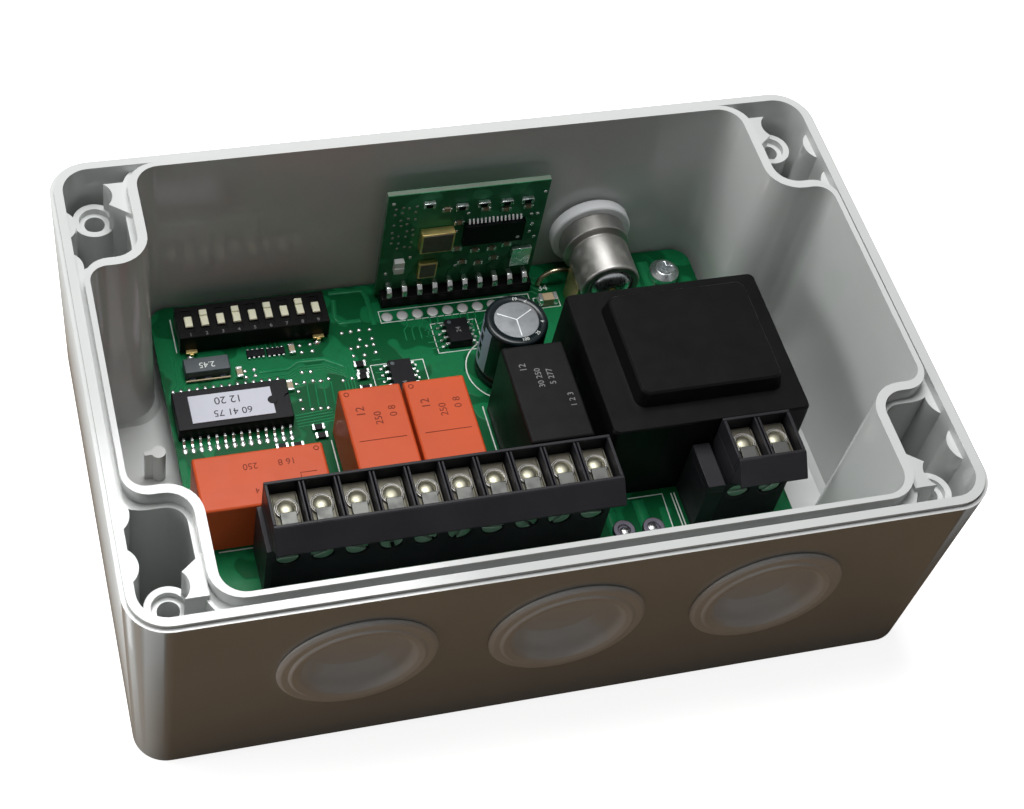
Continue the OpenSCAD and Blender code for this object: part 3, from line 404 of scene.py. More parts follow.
def mark_edges(shape, angle):
    """Mark outer corners for rounding and keep inner corners crisp."""
    weight = shape.edges.layers.float.new("bevel_weight_edge")
    for edge in shape.edges:
        if edge.is_manifold and edge.calc_face_angle() > math.radians(angle):
            edge.smooth = False
            if edge.is_convex:
                edge[weight] = 1.0


def rounded(source, edge, steps):
    """Round the marked edges of an object, even out its normals and keep the result as its mesh."""
    bevel = source.modifiers.new("edges", "BEVEL")
    bevel.width = edge
    bevel.segments = steps
    bevel.limit_method = "WEIGHT"
    even = source.modifiers.new("normals", "WEIGHTED_NORMAL")
    even.keep_sharp = True
    mesh = evaluated_mesh(source)
    source.modifiers.clear()
    source.data = mesh


def cut_level(shape, level):
    """Cut off all that lies above a level and close the cut."""
    cut = bmesh.ops.bisect_plane(shape, geom=shape.verts[:] + shape.edges[:] + shape.faces[:],
                                 plane_co=(0.0, 0.0, level), plane_no=(0.0, 0.0, 1.0), clear_outer=True)
    rim = [one for one in cut["geom_cut"] if isinstance(one, bmesh.types.BMEdge)]
    bmesh.ops.holes_fill(shape, edges=rim, sides=len(rim))


def finished_copy(node, finish_name, edge, body=RECEIVER, below=None):
    """Stand-in for a node: its own shape, merged, with rounded edges and a full material.

    Edge is in metres. Where below is given, only what lies under that level in millimetres is kept.
    """
    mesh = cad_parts[node].data.copy()
    shape = bmesh.new()
    shape.from_mesh(mesh)
    bmesh.ops.remove_doubles(shape, verts=shape.verts, dist=MERGED)
    if below is not None:
        cut_level(shape, below * MM)
    bmesh.ops.dissolve_limit(shape, angle_limit=math.radians(FLAT_DEGREES), verts=shape.verts,
                             edges=shape.edges)
    for face in shape.faces:
        face.smooth = True
    mark_edges(shape, SHARP_DEGREES)
    shape.to_mesh(mesh)
    shape.free()
    mesh.materials.clear()
    mesh.materials.append(finish(finish_name))
    made = new_object(node + "_finished", mesh)
    rounded(made, edge, EDGE_STEPS)
    return settle(made, body, [node])


# Forms in millimetres

def spot(x, y, z, turn=0.0, tilt=0.0):
    """Place in millimetres: moved, then turned about Z, then tilted about X, in degrees."""
    turned = Matrix.Rotation(math.radians(turn), 4, "Z") @ Matrix.Rotation(math.radians(tilt), 4, "X")
    return Matrix.Translation((x, y, z)) @ turned


def rectangle(low, high, z, inset=0.0):
    """Corners of a level rectangle."""
    x0, y0, x1, y1 = low[0] + inset, low[1] + inset, high[0] - inset, high[1] - inset
    return [(x0, y0, z), (x1, y0, z), (x1, y1, z), (x0, y1, z)]


def circle(radius, z, steps=32, first=0.0, last=360.0):
    """Points on a level circle or on an arc of it."""
    share = (last - first) / (steps if last - first >= 360 else steps - 1)
    angles = [math.radians(first + share * k) for k in range(steps)]
    return [(radius * math.cos(angle), radius * math.sin(angle), z) for angle in angles]


class Shape:
    """A mesh in the making, of forms that may have different finishes."""

    def __init__(self):
        self.mesh = bmesh.new()
        self.finishes = []

    def skin(self, rings, name, place=Matrix()):
        """Closed form through rings of points, each ring with as many points as the next."""
        if name not in self.finishes:
            self.finishes.append(name)
        index = self.finishes.index(name)
        rows = [[self.mesh.verts.new((place @ Vector(point)) * MM) for point in ring] for ring in rings]
        faces = [self.mesh.faces.new(list(reversed(rows[0]))), self.mesh.faces.new(rows[-1])]
        for lower, upper in zip(rows, rows[1:]):
            for k in range(len(lower)):
                after = (k + 1) % len(lower)
                faces.append(self.mesh.faces.new((lower[k], lower[after], upper[after], upper[k])))
        for face in faces:
            face.smooth = True
            face.material_index = index

    def block(self, low, high, name, place=Matrix(), taper=0.0):
        """Block between two corners; its top may be smaller all round."""
        self.skin([rectangle(low, high, low[2]), rectangle(low, high, high[2], taper)], name, place)

    def bar(self, outline, half, name):
        """Bar along X, as far to either side of the middle, with an outline in Y and Z."""
        self.skin([[(x, y, z) for y, z in outline] for x in (-half, half)], name)

    def turned(self, profile, name, place=Matrix(), steps=32):
        """Turned form from pairs of radius and height, from one end of its skin to the other."""
        self.skin([circle(radius, height, steps) for radius, height in profile], name, place)

    def piece(self, name, edge, body=RECEIVER, nodes=(), steps=EDGE_STEPS, angle=SHARP_DEGREES):
        """Round the outer edges and settle the form on its body; edge is in millimetres."""
        made = self.template(name, edge, steps, angle)
        return settle(made, body, nodes)

    def template(self, name, edge, steps=EDGE_STEPS, angle=SHARP_DEGREES):
        """Make the form an object, with its outer edges rounded; edge is in millimetres."""
        mesh = bpy.data.meshes.new(name)
        bmesh.ops.recalc_face_normals(self.mesh, faces=self.mesh.faces)
        mark_edges(self.mesh, angle)
        self.mesh.to_mesh(mesh)
        self.mesh.free()
        for finish_name in self.finishes:
            mesh.materials.append(finish(finish_name))
        made = new_object(name, mesh)
        rounded(made, edge * MM, steps)
        return made


# Repeated parts and paths, grown by Geometry Nodes

class Pattern(Recipe):
    """A Geometry Nodes tree with named inputs, which ends in one mesh with one finish."""

    def __init__(self, name, inputs):
        tree = bpy.data.node_groups.new(name, "GeometryNodeTree")
        super().__init__(tree)
        tree.interface.new_socket("Geometry", in_out="INPUT", socket_type="NodeSocketGeometry")
        for label, kind in inputs + (("Finish", "NodeSocketMaterial"),):
            tree.interface.new_socket(label, in_out="INPUT", socket_type=kind)
        tree.interface.new_socket("Geometry", in_out="OUTPUT", socket_type="NodeSocketGeometry")
        self.given = tree.nodes.new("NodeGroupInput")
        self.result = tree.nodes.new("NodeGroupOutput")

    def input(self, label):
        """One of the tree's named inputs."""
        return Value(self, self.given.outputs[label])

    def attribute(self, name):
        """A vector that each point carries."""
        return self.node("GeometryNodeInputNamedAttribute", {"data_type": "FLOAT_VECTOR"}, {"Name": name})

    def close(self, geometry):
        """Make instances real, give them the finish and end the tree."""
        whole = self.node("GeometryNodeRealizeInstances", sockets={"Geometry": geometry})
        dressed = self.node("GeometryNodeSetMaterial", sockets={
            "Geometry": whole, "Material": self.input("Finish")})
        self.feed(self.result.inputs["Geometry"], dressed)
        return self.tree


def places_tree():
    """One part at each point, turned and sized by the point's attributes."""
    pattern = Pattern("Placed parts", (("Part", "NodeSocketObject"),))
    part = pattern.node("GeometryNodeObjectInfo", {"transform_space": "ORIGINAL"},
                        {"Object": pattern.input("Part")}, "Geometry")
    turn = pattern.node("FunctionNodeEulerToRotation", sockets={"Euler": pattern.attribute("turn")})
    return pattern.close(pattern.node("GeometryNodeInstanceOnPoints", sockets={
        "Points": pattern.input("Geometry"), "Instance": part, "Rotation": turn,
        "Scale": pattern.attribute("size")}))


def ribbon_tree():
    """A flat strip along each chain of edges."""
    pattern = Pattern("Ribbons", (("Width", "NodeSocketFloat"), ("Height", "NodeSocketFloat")))
    curve = pattern.node("GeometryNodeMeshToCurve", sockets={"Mesh": pattern.input("Geometry")})
    level = pattern.node("GeometryNodeSetCurveNormal", {"mode": "Z_UP"}, {"Curve": curve})
    section = pattern.node("GeometryNodeCurvePrimitiveQuadrilateral", {"mode": "RECTANGLE"}, {
        "Width": pattern.input("Width"), "Height": pattern.input("Height")})
    return pattern.close(pattern.node("GeometryNodeCurveToMesh", sockets={
        "Curve": level, "Profile Curve": section, "Fill Caps": True}))


def wire_tree():
    """A round wire along each chain of edges."""
    pattern = Pattern("Wires", (("Width", "NodeSocketFloat"),))
    curve = pattern.node("GeometryNodeMeshToCurve", sockets={"Mesh": pattern.input("Geometry")})
    section = pattern.node("GeometryNodeCurvePrimitiveCircle", sockets={
        "Resolution": 10, "Radius": pattern.input("Width") * 0.5})
    tube = pattern.node("GeometryNodeCurveToMesh", sockets={
        "Curve": curve, "Profile Curve": section, "Fill Caps": True})
    return pattern.close(tube)


TREES = {"Placed parts": places_tree, "Ribbons": ribbon_tree, "Wires": wire_tree}


def grown(name, mesh, tree_name, inputs):
    """Run a tree on a mesh, with its named inputs set, and keep what it makes as a plain mesh."""
    tree = bpy.data.node_groups.get(tree_name) or TREES[tree_name]()
    made = new_object(name, mesh)
    modifier = made.modifiers.new("pattern", "NODES")
    modifier.node_group = tree
    for item in tree.interface.items_tree:
        if item.in_out == "INPUT" and item.name in inputs:
            modifier[item.identifier] = inputs[item.name]
    result = evaluated_mesh(made)
    made.modifiers.clear()
    made.data = result
    return made


def placed(name, part, finish_name, places, nodes=()):
    """One piece made of equal parts. A place is x, y, z in mm, then the turns in degrees and the sizes."""
    mesh = bpy.data.meshes.new(name)
    mesh.from_pydata([Vector(place[:3]) * MM for place in places], [], [])
    turn = mesh.attributes.new("turn", "FLOAT_VECTOR", "POINT")
    size = mesh.attributes.new("size", "FLOAT_VECTOR", "POINT")
    for index, place in enumerate(places):
        turns = place[3] if len(place) > 3 else (0.0, 0.0, 0.0)
        turn.data[index].vector = [math.radians(angle) for angle in turns]
        size.data[index].vector = place[4] if len(place) > 4 else (1.0, 1.0, 1.0)
    made = grown(name, mesh, "Placed parts", {"Part": part, "Finish": finish(finish_name)})
    bpy.data.objects.remove(part)
    return settle(made, RECEIVER, nodes)


def chained(name, paths):
    """Mesh of open chains of edges; a path whose last point is its first is closed."""
    points, edges = [], []
    for path in paths:
        closed = path[0] == path[-1]
        first = len(points)
        own = path[:-1] if closed else path
        points += [Vector(point) * MM for point in own]
        edges += [(first + k, first + k + 1) for k in range(len(own) - 1)]
        if closed:
            edges.append((first + len(own) - 1, first))
    mesh = bpy.data.meshes.new(name)
    mesh.from_pydata(points, edges, [])
    return mesh


def ribbons(name, paths, finish_name, width, height):
    """Flat strips along level paths; width and height are in millimetres."""
    made = grown(name, chained(name, paths), "Ribbons", {
        "Width": width * MM, "Height": height * MM, "Finish": finish(finish_name)})
    return settle(made, RECEIVER)


def wires(name, paths, finish_name, width):
    """Round wires along paths; width is in millimetres."""
    made = grown(name, chained(name, paths), "Wires", {"Width": width * MM, "Finish": finish(finish_name)})
    return settle(made, RECEIVER)


def lettering(name, lines, finish_name):
    """Thin raised print. Each line is its figures, their height in millimetres and their place."""
    shape = bmesh.new()
    thickness, merged = 0.02, 0.0005 * MM
    for words, height, place in lines:
        curve = bpy.data.curves.new("letters", "FONT")
        curve.body = words
        curve.align_x = "CENTER"
        curve.align_y = "CENTER"
        curve.extrude = thickness / height
        source = new_object("letters", curve)
        mesh = evaluated_mesh(source)
        mesh.transform(Matrix.Scale(MM, 4) @ place @ Matrix.Scale(height, 4))
        shape.from_mesh(mesh)
        bpy.data.objects.remove(source)
    mesh = bpy.data.meshes.new(name)
    bmesh.ops.remove_doubles(shape, verts=shape.verts, dist=merged)
    shape.to_mesh(mesh)
    shape.free()
    mesh.materials.clear()
    mesh.materials.append(finish(finish_name))
    return settle(new_object(name, mesh), RECEIVER)


# Quarter turns that lay a chip part along the board, across it, or against the upright module
CHIP_TURNS = {
    "X": Matrix(),
    "Y": Matrix.Rotation(math.radians(90), 4, "Z"),
    "wall": Matrix.Rotation(math.radians(90), 4, "X"),
}


def chip_component(shape, middle, size, finish_name, along="X"):
    """Chip resistor or capacitor: a ceramic body between two tinned ends, on the middle of its underside."""
    end_share, sunk = 0.22, 0.04
    place = Matrix.Translation(middle) @ CHIP_TURNS[along]
    length, width, height = size
    end = length * end_share
    shape.block((-length / 2 + end, -width / 2 + sunk, 0.0),
                (length / 2 - end, width / 2 - sunk, height - sunk), finish_name, place)
    for side in (-1, 1):
        first, last = sorted((side * (length / 2 - end), side * length / 2))
        shape.block((first, -width / 2, 0.0), (last, width / 2, height), "solder", place)


def gull_lead():
    """Template of one chip lead that leaves the body towards -Y and comes down to the board."""
    width, reach, height, thick = 0.42, 1.1, 0.75, 0.2
    lead = Shape()
    outline = [(0.1, height), (0.1, height + thick), (-reach / 2, height + thick),
               (-reach / 2 - thick, thick), (-reach, thick), (-reach, 0.0), (-reach / 2, 0.0),
               (-reach / 2 + thick, height)]
    lead.bar(outline, width / 2, "solder")
    return lead.template("lead", 0.04)


def bead():
    """Template of one rounded solder bead."""
    radius, height = 0.5, 0.35
    drop = Shape()
    drop.turned([(radius, 0.0), (radius * 0.95, height * 0.25), (radius * 0.75, height * 0.65),
                 (radius * 0.4, height * 0.92), (radius * 0.08, height)], "solder", steps=14)
    return drop.template("bead", 0.01, 1, 80.0)


def on_board(*points):
    """Level path on the board's lacquer."""
    return [(x, y, BOARD_TOP + LACQUER) for x, y in points]


def ring_path(x, y, z, radius, steps):
    """Closed circle on a level."""
    points = [(x + px, y + py, z) for px, py, _ in circle(radius, 0.0, steps)]
    return points + points[:1]


# Stage: lengths in metres, colours as linear colour

FLOOR_REACH = 3.0
FLOOR_GAP = 0.0001
FLOOR_GLOW = 0.86
FLOOR_TO_CAMERA = (0.90, 0.90, 0.90, 1.0)
FLOOR_TO_PART = (0.20, 0.13, 0.07, 1.0)
BLACK = (0.0, 0.0, 0.0, 1.0)
WHITE = (1.0, 1.0, 1.0, 1.0)
LEFT_LIGHT_SIZE = 0.30
LEFT_LIGHT_PLACE = (-0.50, 0.06, 0.12)
TOP_LIGHT_SIZE = 0.24
TOP_LIGHT_PLACE = (-0.03, 0.11, 0.42)
SENSOR_WIDTH_MM = 36.0
NEAREST_SEEN = 0.01


# Operators, one for each group of like pieces

class RECEIVER_OT_stage(bpy.types.Operator):
    """Floor, soft lights and the camera of the photograph"""

    bl_idname = "receiver.stage"
    bl_label = "Stage"

    def execute(self, context):
        stage = context.scene.receiver_stage
        self.floor()
        self.lamp("left_light", stage.left_power, LEFT_LIGHT_SIZE, LEFT_LIGHT_PLACE)
        self.lamp("top_light", stage.top_power, TOP_LIGHT_SIZE, TOP_LIGHT_PLACE)
        self.room(context.scene, stage)
        lens = bpy.data.cameras.new("camera")
        lens.lens = stage.lens
        lens.sensor_width = SENSOR_WIDTH_MM
        lens.shift_x = stage.shift
        lens.clip_start = NEAREST_SEEN
        camera = new_object("camera", lens)
        camera.location = stage.camera_place
        camera.rotation_euler = Euler(stage.camera_turn)
        context.scene.camera = camera
        context.scene.view_settings.view_transform = "Standard"
        return {"FINISHED"}

    def room(self, scene, stage):
        """White all round: full to the camera, dim as light, and brighter in reflections."""
        world = bpy.data.worlds.new("studio")
        scene.world = world
        world.use_nodes = True
        background = world.node_tree.nodes["Background"]
        recipe = Recipe(world.node_tree)
        seen = recipe.node("ShaderNodeLightPath", out="Is Camera Ray")
        mirrored = recipe.node("ShaderNodeLightPath", out="Is Glossy Ray")
        recipe.feed(background.inputs["Strength"], stage.room_light + seen * (1 - stage.room_light)
                    + mirrored * stage.mirrored_room)
        background.inputs["Color"].default_value = WHITE

    def floor(self):
        """Large floor, level with the underside of the base: white to the camera, brown to the part."""
        shape = bmesh.new()
        bmesh.ops.create_grid(shape, x_segments=8, y_segments=8, size=FLOOR_REACH)
        mesh = bpy.data.meshes.new("floor")
        shape.to_mesh(mesh)
        shape.free()
        made = Finish("floor_finish")
        seen = made.node("ShaderNodeLightPath", out="Is Camera Ray")
        cloud = made.clouds(60.0)
        made.surface({
            "Base Color": made.blend(seen, FLOOR_TO_PART, FLOOR_TO_CAMERA),
            "Emission Color": made.blend(seen, BLACK, WHITE),
            "Emission Strength": FLOOR_GLOW,
            "Roughness": 0.85 + cloud * 0.1,
            "Specular IOR Level": 0.1})
        mesh.materials.append(made.material)
        floor = new_object("floor", mesh)
        floor.location.z = -FLOOR_GAP

    def lamp(self, name, power, size, place):
        """Square soft light that faces the middle of the part's underside."""
        light = bpy.data.lights.new(name, "AREA")
        light.energy = power
        light.size = size
        lamp = new_object(name, light)
        lamp.location = place
        lamp.rotation_euler = (-Vector(place)).to_track_quat("-Z", "Y").to_euler()


class RECEIVER_OT_housing(bpy.types.Operator):
    """Moulded base with its sealing rim, and the three closed grommets"""

    bl_idname = "receiver.housing"
    bl_label = "Housing and grommets"

    def execute(self, context):
        finished_copy("enclosure_base", "housing", sizes().moulded_edge)
        for side in ("left", "middle", "right"):
            finished_copy("grommet_" + side, "grommet", sizes().moulded_edge)
        return {"FINISHED"}


# Board: all in millimetres, read from the photograph

# Bundles of tracks: start of the first, step to the next, how many, and the bends that each takes
THIN_TRACKS = (
    ((-43.6, 25.6), (0.45, 0.0), 5, ((0.0, -5.6), (-0.9, -1.2), (0.0, -4.5))),
    ((-32.2, 26.0), (0.75, 0.0), 8, ((0.0, -1.3),)),
    ((-30.5, 19.2), (0.0, -0.5), 3, ((4.4, 0.1), (1.8, 1.1), (4.2, 0.0), (2.8, -1.9))),
    ((-26.6, 11.2), (0.0, -0.55), 5, ((6.0, 0.4),)),
    ((-16.8, 19.6), (0.5, 0.0), 4, ((0.0, -2.2), (-0.8, -0.8), (0.0, -4.6))),
    ((-23.6, 16.8), (1.3, 0.0), 4, ((-0.3, -4.4),)),
    ((-5.0, 27.4), (1.27, 0.0), 10, ((0.0, -1.4), (-0.9, -0.9), (0.0, -2.2))),
    ((-12.4, 11.0), (0.0, 1.27), 8, ((1.4, 0.0),)),
    ((-2.6, 20.7), (0.0, 1.27), 4, ((2.0, 0.0),)),
    ((4.6, 20.7), (0.0, 1.27), 4, ((2.2, 0.0), (0.7, 0.7), (2.4, 0.0))),
    ((-44.5, 4.6), (1.27, 0.0), 13, ((0.0, -2.0), (-0.6, -0.6), (0.0, -1.2))),
    ((13.0, 33.4), (0.0, -1.2), 4, ((4.0, 0.0), (1.0, -1.0), (2.2, 0.0))),
)
POWER_TRACKS = (
    ((17.0, -20.4), (5.0, 0.2), 2, ((0.0, 7.4),)),
    ((30.2, -33.0), (0.0, 2.2), 3, ((-6.0, 0.0), (-1.6, 1.6), (-3.0, 0.0))),
    ((-43.6, -33.0), (6.2, 0.0), 12, ((0.0, 6.0),)),
    ((34.8, 33.2), (2.6, 0.0), 3, ((0.0, -6.0),)),
)
TRACK_LOOPS = (
    ((-15.9, 32.9), (-16.5, 29.2), (-15.9, 28.0), (-12.4, 28.1)),
    ((-16.4, 34.3), (-10.9, 34.3), (-10.4, 32.5), (-10.4, 26.9)),
    ((-30.5, 20.4), (-26.0, 20.3), (-24.2, 21.5), (-19.9, 21.4), (-17.1, 19.5)),
)
POWER_TRACK_WIDTH = 1.9
LOOP_WIDTH = 0.85

# Solder beads: single ones, then rows as first place, step, how many and size against a whole bead
SMALL_BEAD = (0.75, 0.75, 0.6)
BEADS = (
    (-16.0, 26.0), (-14.5, 26.1), (-13.1, 26.2), (-11.4, 26.1), (-13.4, 24.3), (-11.4, 24.2), (-15.2, 22.7),
    (-14.0, 22.9), (-12.6, 22.9), (-11.4, 23.0), (-15.1, 21.2), (-13.3, 21.1), (-11.4, 21.4), (-23.2, 24.6),
    (-21.5, 24.6), (-23.1, 23.2), (-21.4, 23.2), (-32.7, 20.9), (-32.7, 19.7), (-31.2, 21.0), (-31.2, 19.8),
    (-23.9, 19.3), (-22.5, 19.2), (-23.9, 17.3), (-22.5, 17.4), (-21.3, 17.2), (-20.0, 17.4), (-25.2, 17.2),
    (-25.2, 15.7), (-25.2, 14.0), (-25.2, 12.3), (-23.7, 12.0), (-22.4, 12.0), (-21.2, 11.9), (-17.8, 16.7),
    (-16.3, 16.9),
)
BEAD_ROWS = (
    (-44.4, 7.4, 1.27, 0.0, 14, (0.8, 1.4, 0.45)),
    (-44.4, 18.6, 1.27, 0.0, 14, (0.6, 1.0, 0.3)),
    (-40.6, 24.8, 20.32, 0.0, 2, (1.3, 1.1, 1.3)),
    (-41.0, 20.35, 2.4, 0.0, 3, (1.2, 0.8, 0.9)),
    (13.4, 23.2, 2.1, 1.3, 4, SMALL_BEAD),
    (38.4, 20.6, 0.0, 2.6, 4, SMALL_BEAD),
    (-41.0, -31.4, 5.08, 0.0, 11, (2.2, 2.2, 1.0)),
)
EYELET_ROW = (-8.0, 28.1, 2.54, 0.0, 10)

# White print: lines as points, rectangles as opposite corners, and numbers as height, place and turn
PRINT_LINES = (
    ((20.6, -12.3), (26.2, -12.3), (26.0, -18.4)), ((27.6, -12.4), (27.6, -18.4)),
    ((28.1, -12.4), (28.1, -18.4)), ((-42.6, -11.2), (-25.4, -11.2)), ((-22.05, 5.8), (-22.05, -0.4)),
    ((2.85, 8.3), (2.85, -0.4)), ((-42.55, 26.0), (-42.55, 32.8)),
)
HEADER_OUTLINE = (-9.2, 27.0, 16.2, 29.4)
CHIP_OUTLINES = ((-1.4, 19.6, 6.2, 25.6), (-12.9, 7.9, -4.3, 18.9), (16.8, 26.1, 21.0, 28.3))
CAPACITOR_RING = 6.3
BOARD_NUMBERS = (("34", 1.7, 19.0, 30.2, 0), ("7", 1.6, 8.6, 24.6, 0), ("8", 1.6, 24.4, -20.6, 0),
                 ("10", 1.7, -43.0, -18.0, 0), ("44", 1.6, 36.8, 21.8, 90))


def bundle(first, step, count, bends):
    """Tracks side by side: each starts a step from the last and takes the same bends."""
    tracks = []
    for k in range(count):
        x, y = first[0] + step[0] * k, first[1] + step[1] * k
        points = [(x, y)]
        for dx, dy in bends:
            x, y = x + dx, y + dy
            points.append((x, y))
        tracks.append(on_board(*points))
    return tracks


def bundles(rows):
    """All tracks of a table of bundles."""
    return [track for row in rows for track in bundle(*row)]


def board_row(x, y, dx, dy, count, size=(1.0, 1.0, 1.0)):
    """Places of equal parts in a row on the board."""
    return [(x + dx * k, y + dy * k, BOARD_TOP, (0.0, 0.0, 0.0), size) for k in range(count)]


def outlined(x0, y0, x1, y1):
    """Closed rectangle on the board."""
    return on_board((x0, y0), (x1, y0), (x1, y1), (x0, y1), (x0, y0))


class RECEIVER_OT_board(bpy.types.Operator):
    """Circuit board with its screws, tracks, pads and print"""

    bl_idname = "receiver.board"
    bl_label = "Circuit board"

    def execute(self, context):
        finished_copy("main_board", "board", 0.08 * MM)
        finished_copy("board_screws", "steel", 0.12 * MM)
        self.tracks()
        self.solder()
        self.printing()
        return {"FINISHED"}

    def tracks(self):
        """Copper tracks under the lacquer, in the places that the parts leave open."""
        loops = [on_board(*loop) for loop in TRACK_LOOPS]
        for name, paths, width in (
                ("board_tracks", bundles(THIN_TRACKS), sizes().trace_width / MM),
                ("board_loops", loops, LOOP_WIDTH),
                ("board_power_tracks", bundles(POWER_TRACKS), POWER_TRACK_WIDTH)):
            ribbons(name, paths, "copper_green", width, 2 * LACQUER)

    def solder(self):
        """Solder beads on pads and plated holes, and the flat eyelets beside the module."""
        places = [place for x, y in BEADS for place in board_row(x, y, 0.0, 0.0, 1, SMALL_BEAD)]
        for row in BEAD_ROWS:
            places += board_row(*row)
        placed("board_solder", bead(), "solder", places)
        eyelet = Shape()
        eyelet.turned([(0.95, 0.0), (0.95, 0.05), (0.80, 0.08), (0.40, 0.07), (0.08, 0.09)], "tinned",
                      steps=20)
        placed("board_eyelets", eyelet.template("eyelet", 0.01, 1, 80.0), "tinned",
               board_row(*EYELET_ROW))

    def printing(self):
        """White print on the board: part outlines, ring round the capacitor and plain numbers."""
        z = BOARD_TOP + LACQUER
        middle = middle_mm("capacitor")
        paths = [outlined(*HEADER_OUTLINE), ring_path(middle.x, middle.y, z, CAPACITOR_RING, 40)]
        paths += [on_board(*line) for line in PRINT_LINES]
        paths += [outlined(*corners) for corners in CHIP_OUTLINES]
        ribbons("board_print", paths, "print", sizes().print_width / MM, 2 * LACQUER)
        lettering("board_numbers", [(words, height, spot(x, y, z, turn))
                                    for words, height, x, y, turn in BOARD_NUMBERS], "print")


class RECEIVER_OT_antenna(bpy.types.Operator):
    """Antenna socket, washer, bracket and link wire"""

    bl_idname = "receiver.antenna"
    bl_label = "Antenna socket"

    def execute(self, context):
        finished_copy("antenna_socket", "nickel", 0.12 * MM)
        finished_copy("antenna_insulator", "white_plastic", sizes().metal_edge)
        finished_copy("antenna_contact", "gold", sizes().metal_edge)
        finished_copy("antenna_washer", "white_plastic", 0.3 * MM)
        finished_copy("antenna_bracket", "tan_plate", sizes().metal_edge)
        finished_copy("antenna_link", "copper_wire", 0.04 * MM)
        self.cup()
        return {"FINISHED"}

    def cup(self):
        """Domed steel ring round the contact, in the mouth of the barrel."""
        middle = middle_mm("antenna_insulator")
        front = box_mm("antenna_insulator")[0].y
        ring = Shape()
        ring.turned([(3.4, -0.2), (3.36, 0.15), (3.05, 0.70), (2.45, 1.15), (1.70, 1.40), (1.15, 1.42),
                     (0.95, 1.10)], "steel", spot(middle.x, front, middle.z, tilt=90), 48)
        ring.piece("antenna_cup_ring", 0.03, angle=60.0)


# Radio module: all in millimetres, along X and up from the main board, read from the photograph

RADIO_PINS = 10
HEADER_PITCH = 2.54
HEADER_DEPTH, HEADER_TALL = 2.3, 2.2
CHIP_FACE = (3.9, 13.8, 12.0, 16.5)
CHIP_DEPTH = 1.1
CHIP_DOT = (12.9, 12.9)
CHIP_LEADS, CHIP_LEAD_PITCH = 14, 0.65
CRYSTALS = ((-3.3, 2.1, 11.9, 16.3, 1.65), (-2.8, 0.3, 5.0, 8.5, 1.0))
SHIELD_CAN = (12.7, 16.0, 5.3, 9.5, 0.85)
DARK_BARS = ((-2.55, 22.5), (2.85, 21.2), (6.4, 21.4), (10.15, 21.2), (13.55, 21.2))
TAN_CHIPS = ((0.5, 20.4), (6.9, 19.6), (10.3, 19.0), (13.9, 19.1), (2.9, 17.0), (3.3, 10.6),
             (6.4, 9.8), (9.2, 9.8), (11.6, 10.4), (4.6, 7.2), (7.4, 6.6), (9.9, 7.4))
WHITE_BLOCKS = ((-6.9, -5.3, 7.0, 8.3, 1.2), (-6.9, -5.3, 8.45, 9.6, 1.1))
SOLDER_DOTS = ((-7.9, 6.0), (-4.2, 9.45), (2.9, 14.55), (3.7, 6.1), (14.9, 16.8), (15.9, 16.8),
               (15.2, 12.6), (16.2, 11.2), (15.4, 14.4), (16.4, 21.8), (-8.2, 22.6), (4.3, 18.6))
# Size of a dark bar, and half the length of the bright steel strip on its top, which is a painted highlight
BAR_SIZE, BAR_HIGHLIGHT_HALF = (2.0, 1.0, 0.7), 0.9
TAN_CHIP_SIZE = (1.6, 0.8, 0.5)

# Turn in degrees and sizes of beads on the module's face, against a whole bead
UPRIGHT = (90.0, 0.0, 0.0)
VIA_SIZE = (0.5, 0.5, 0.3)
DOT_SIZE = (0.62, 0.62, 0.4)


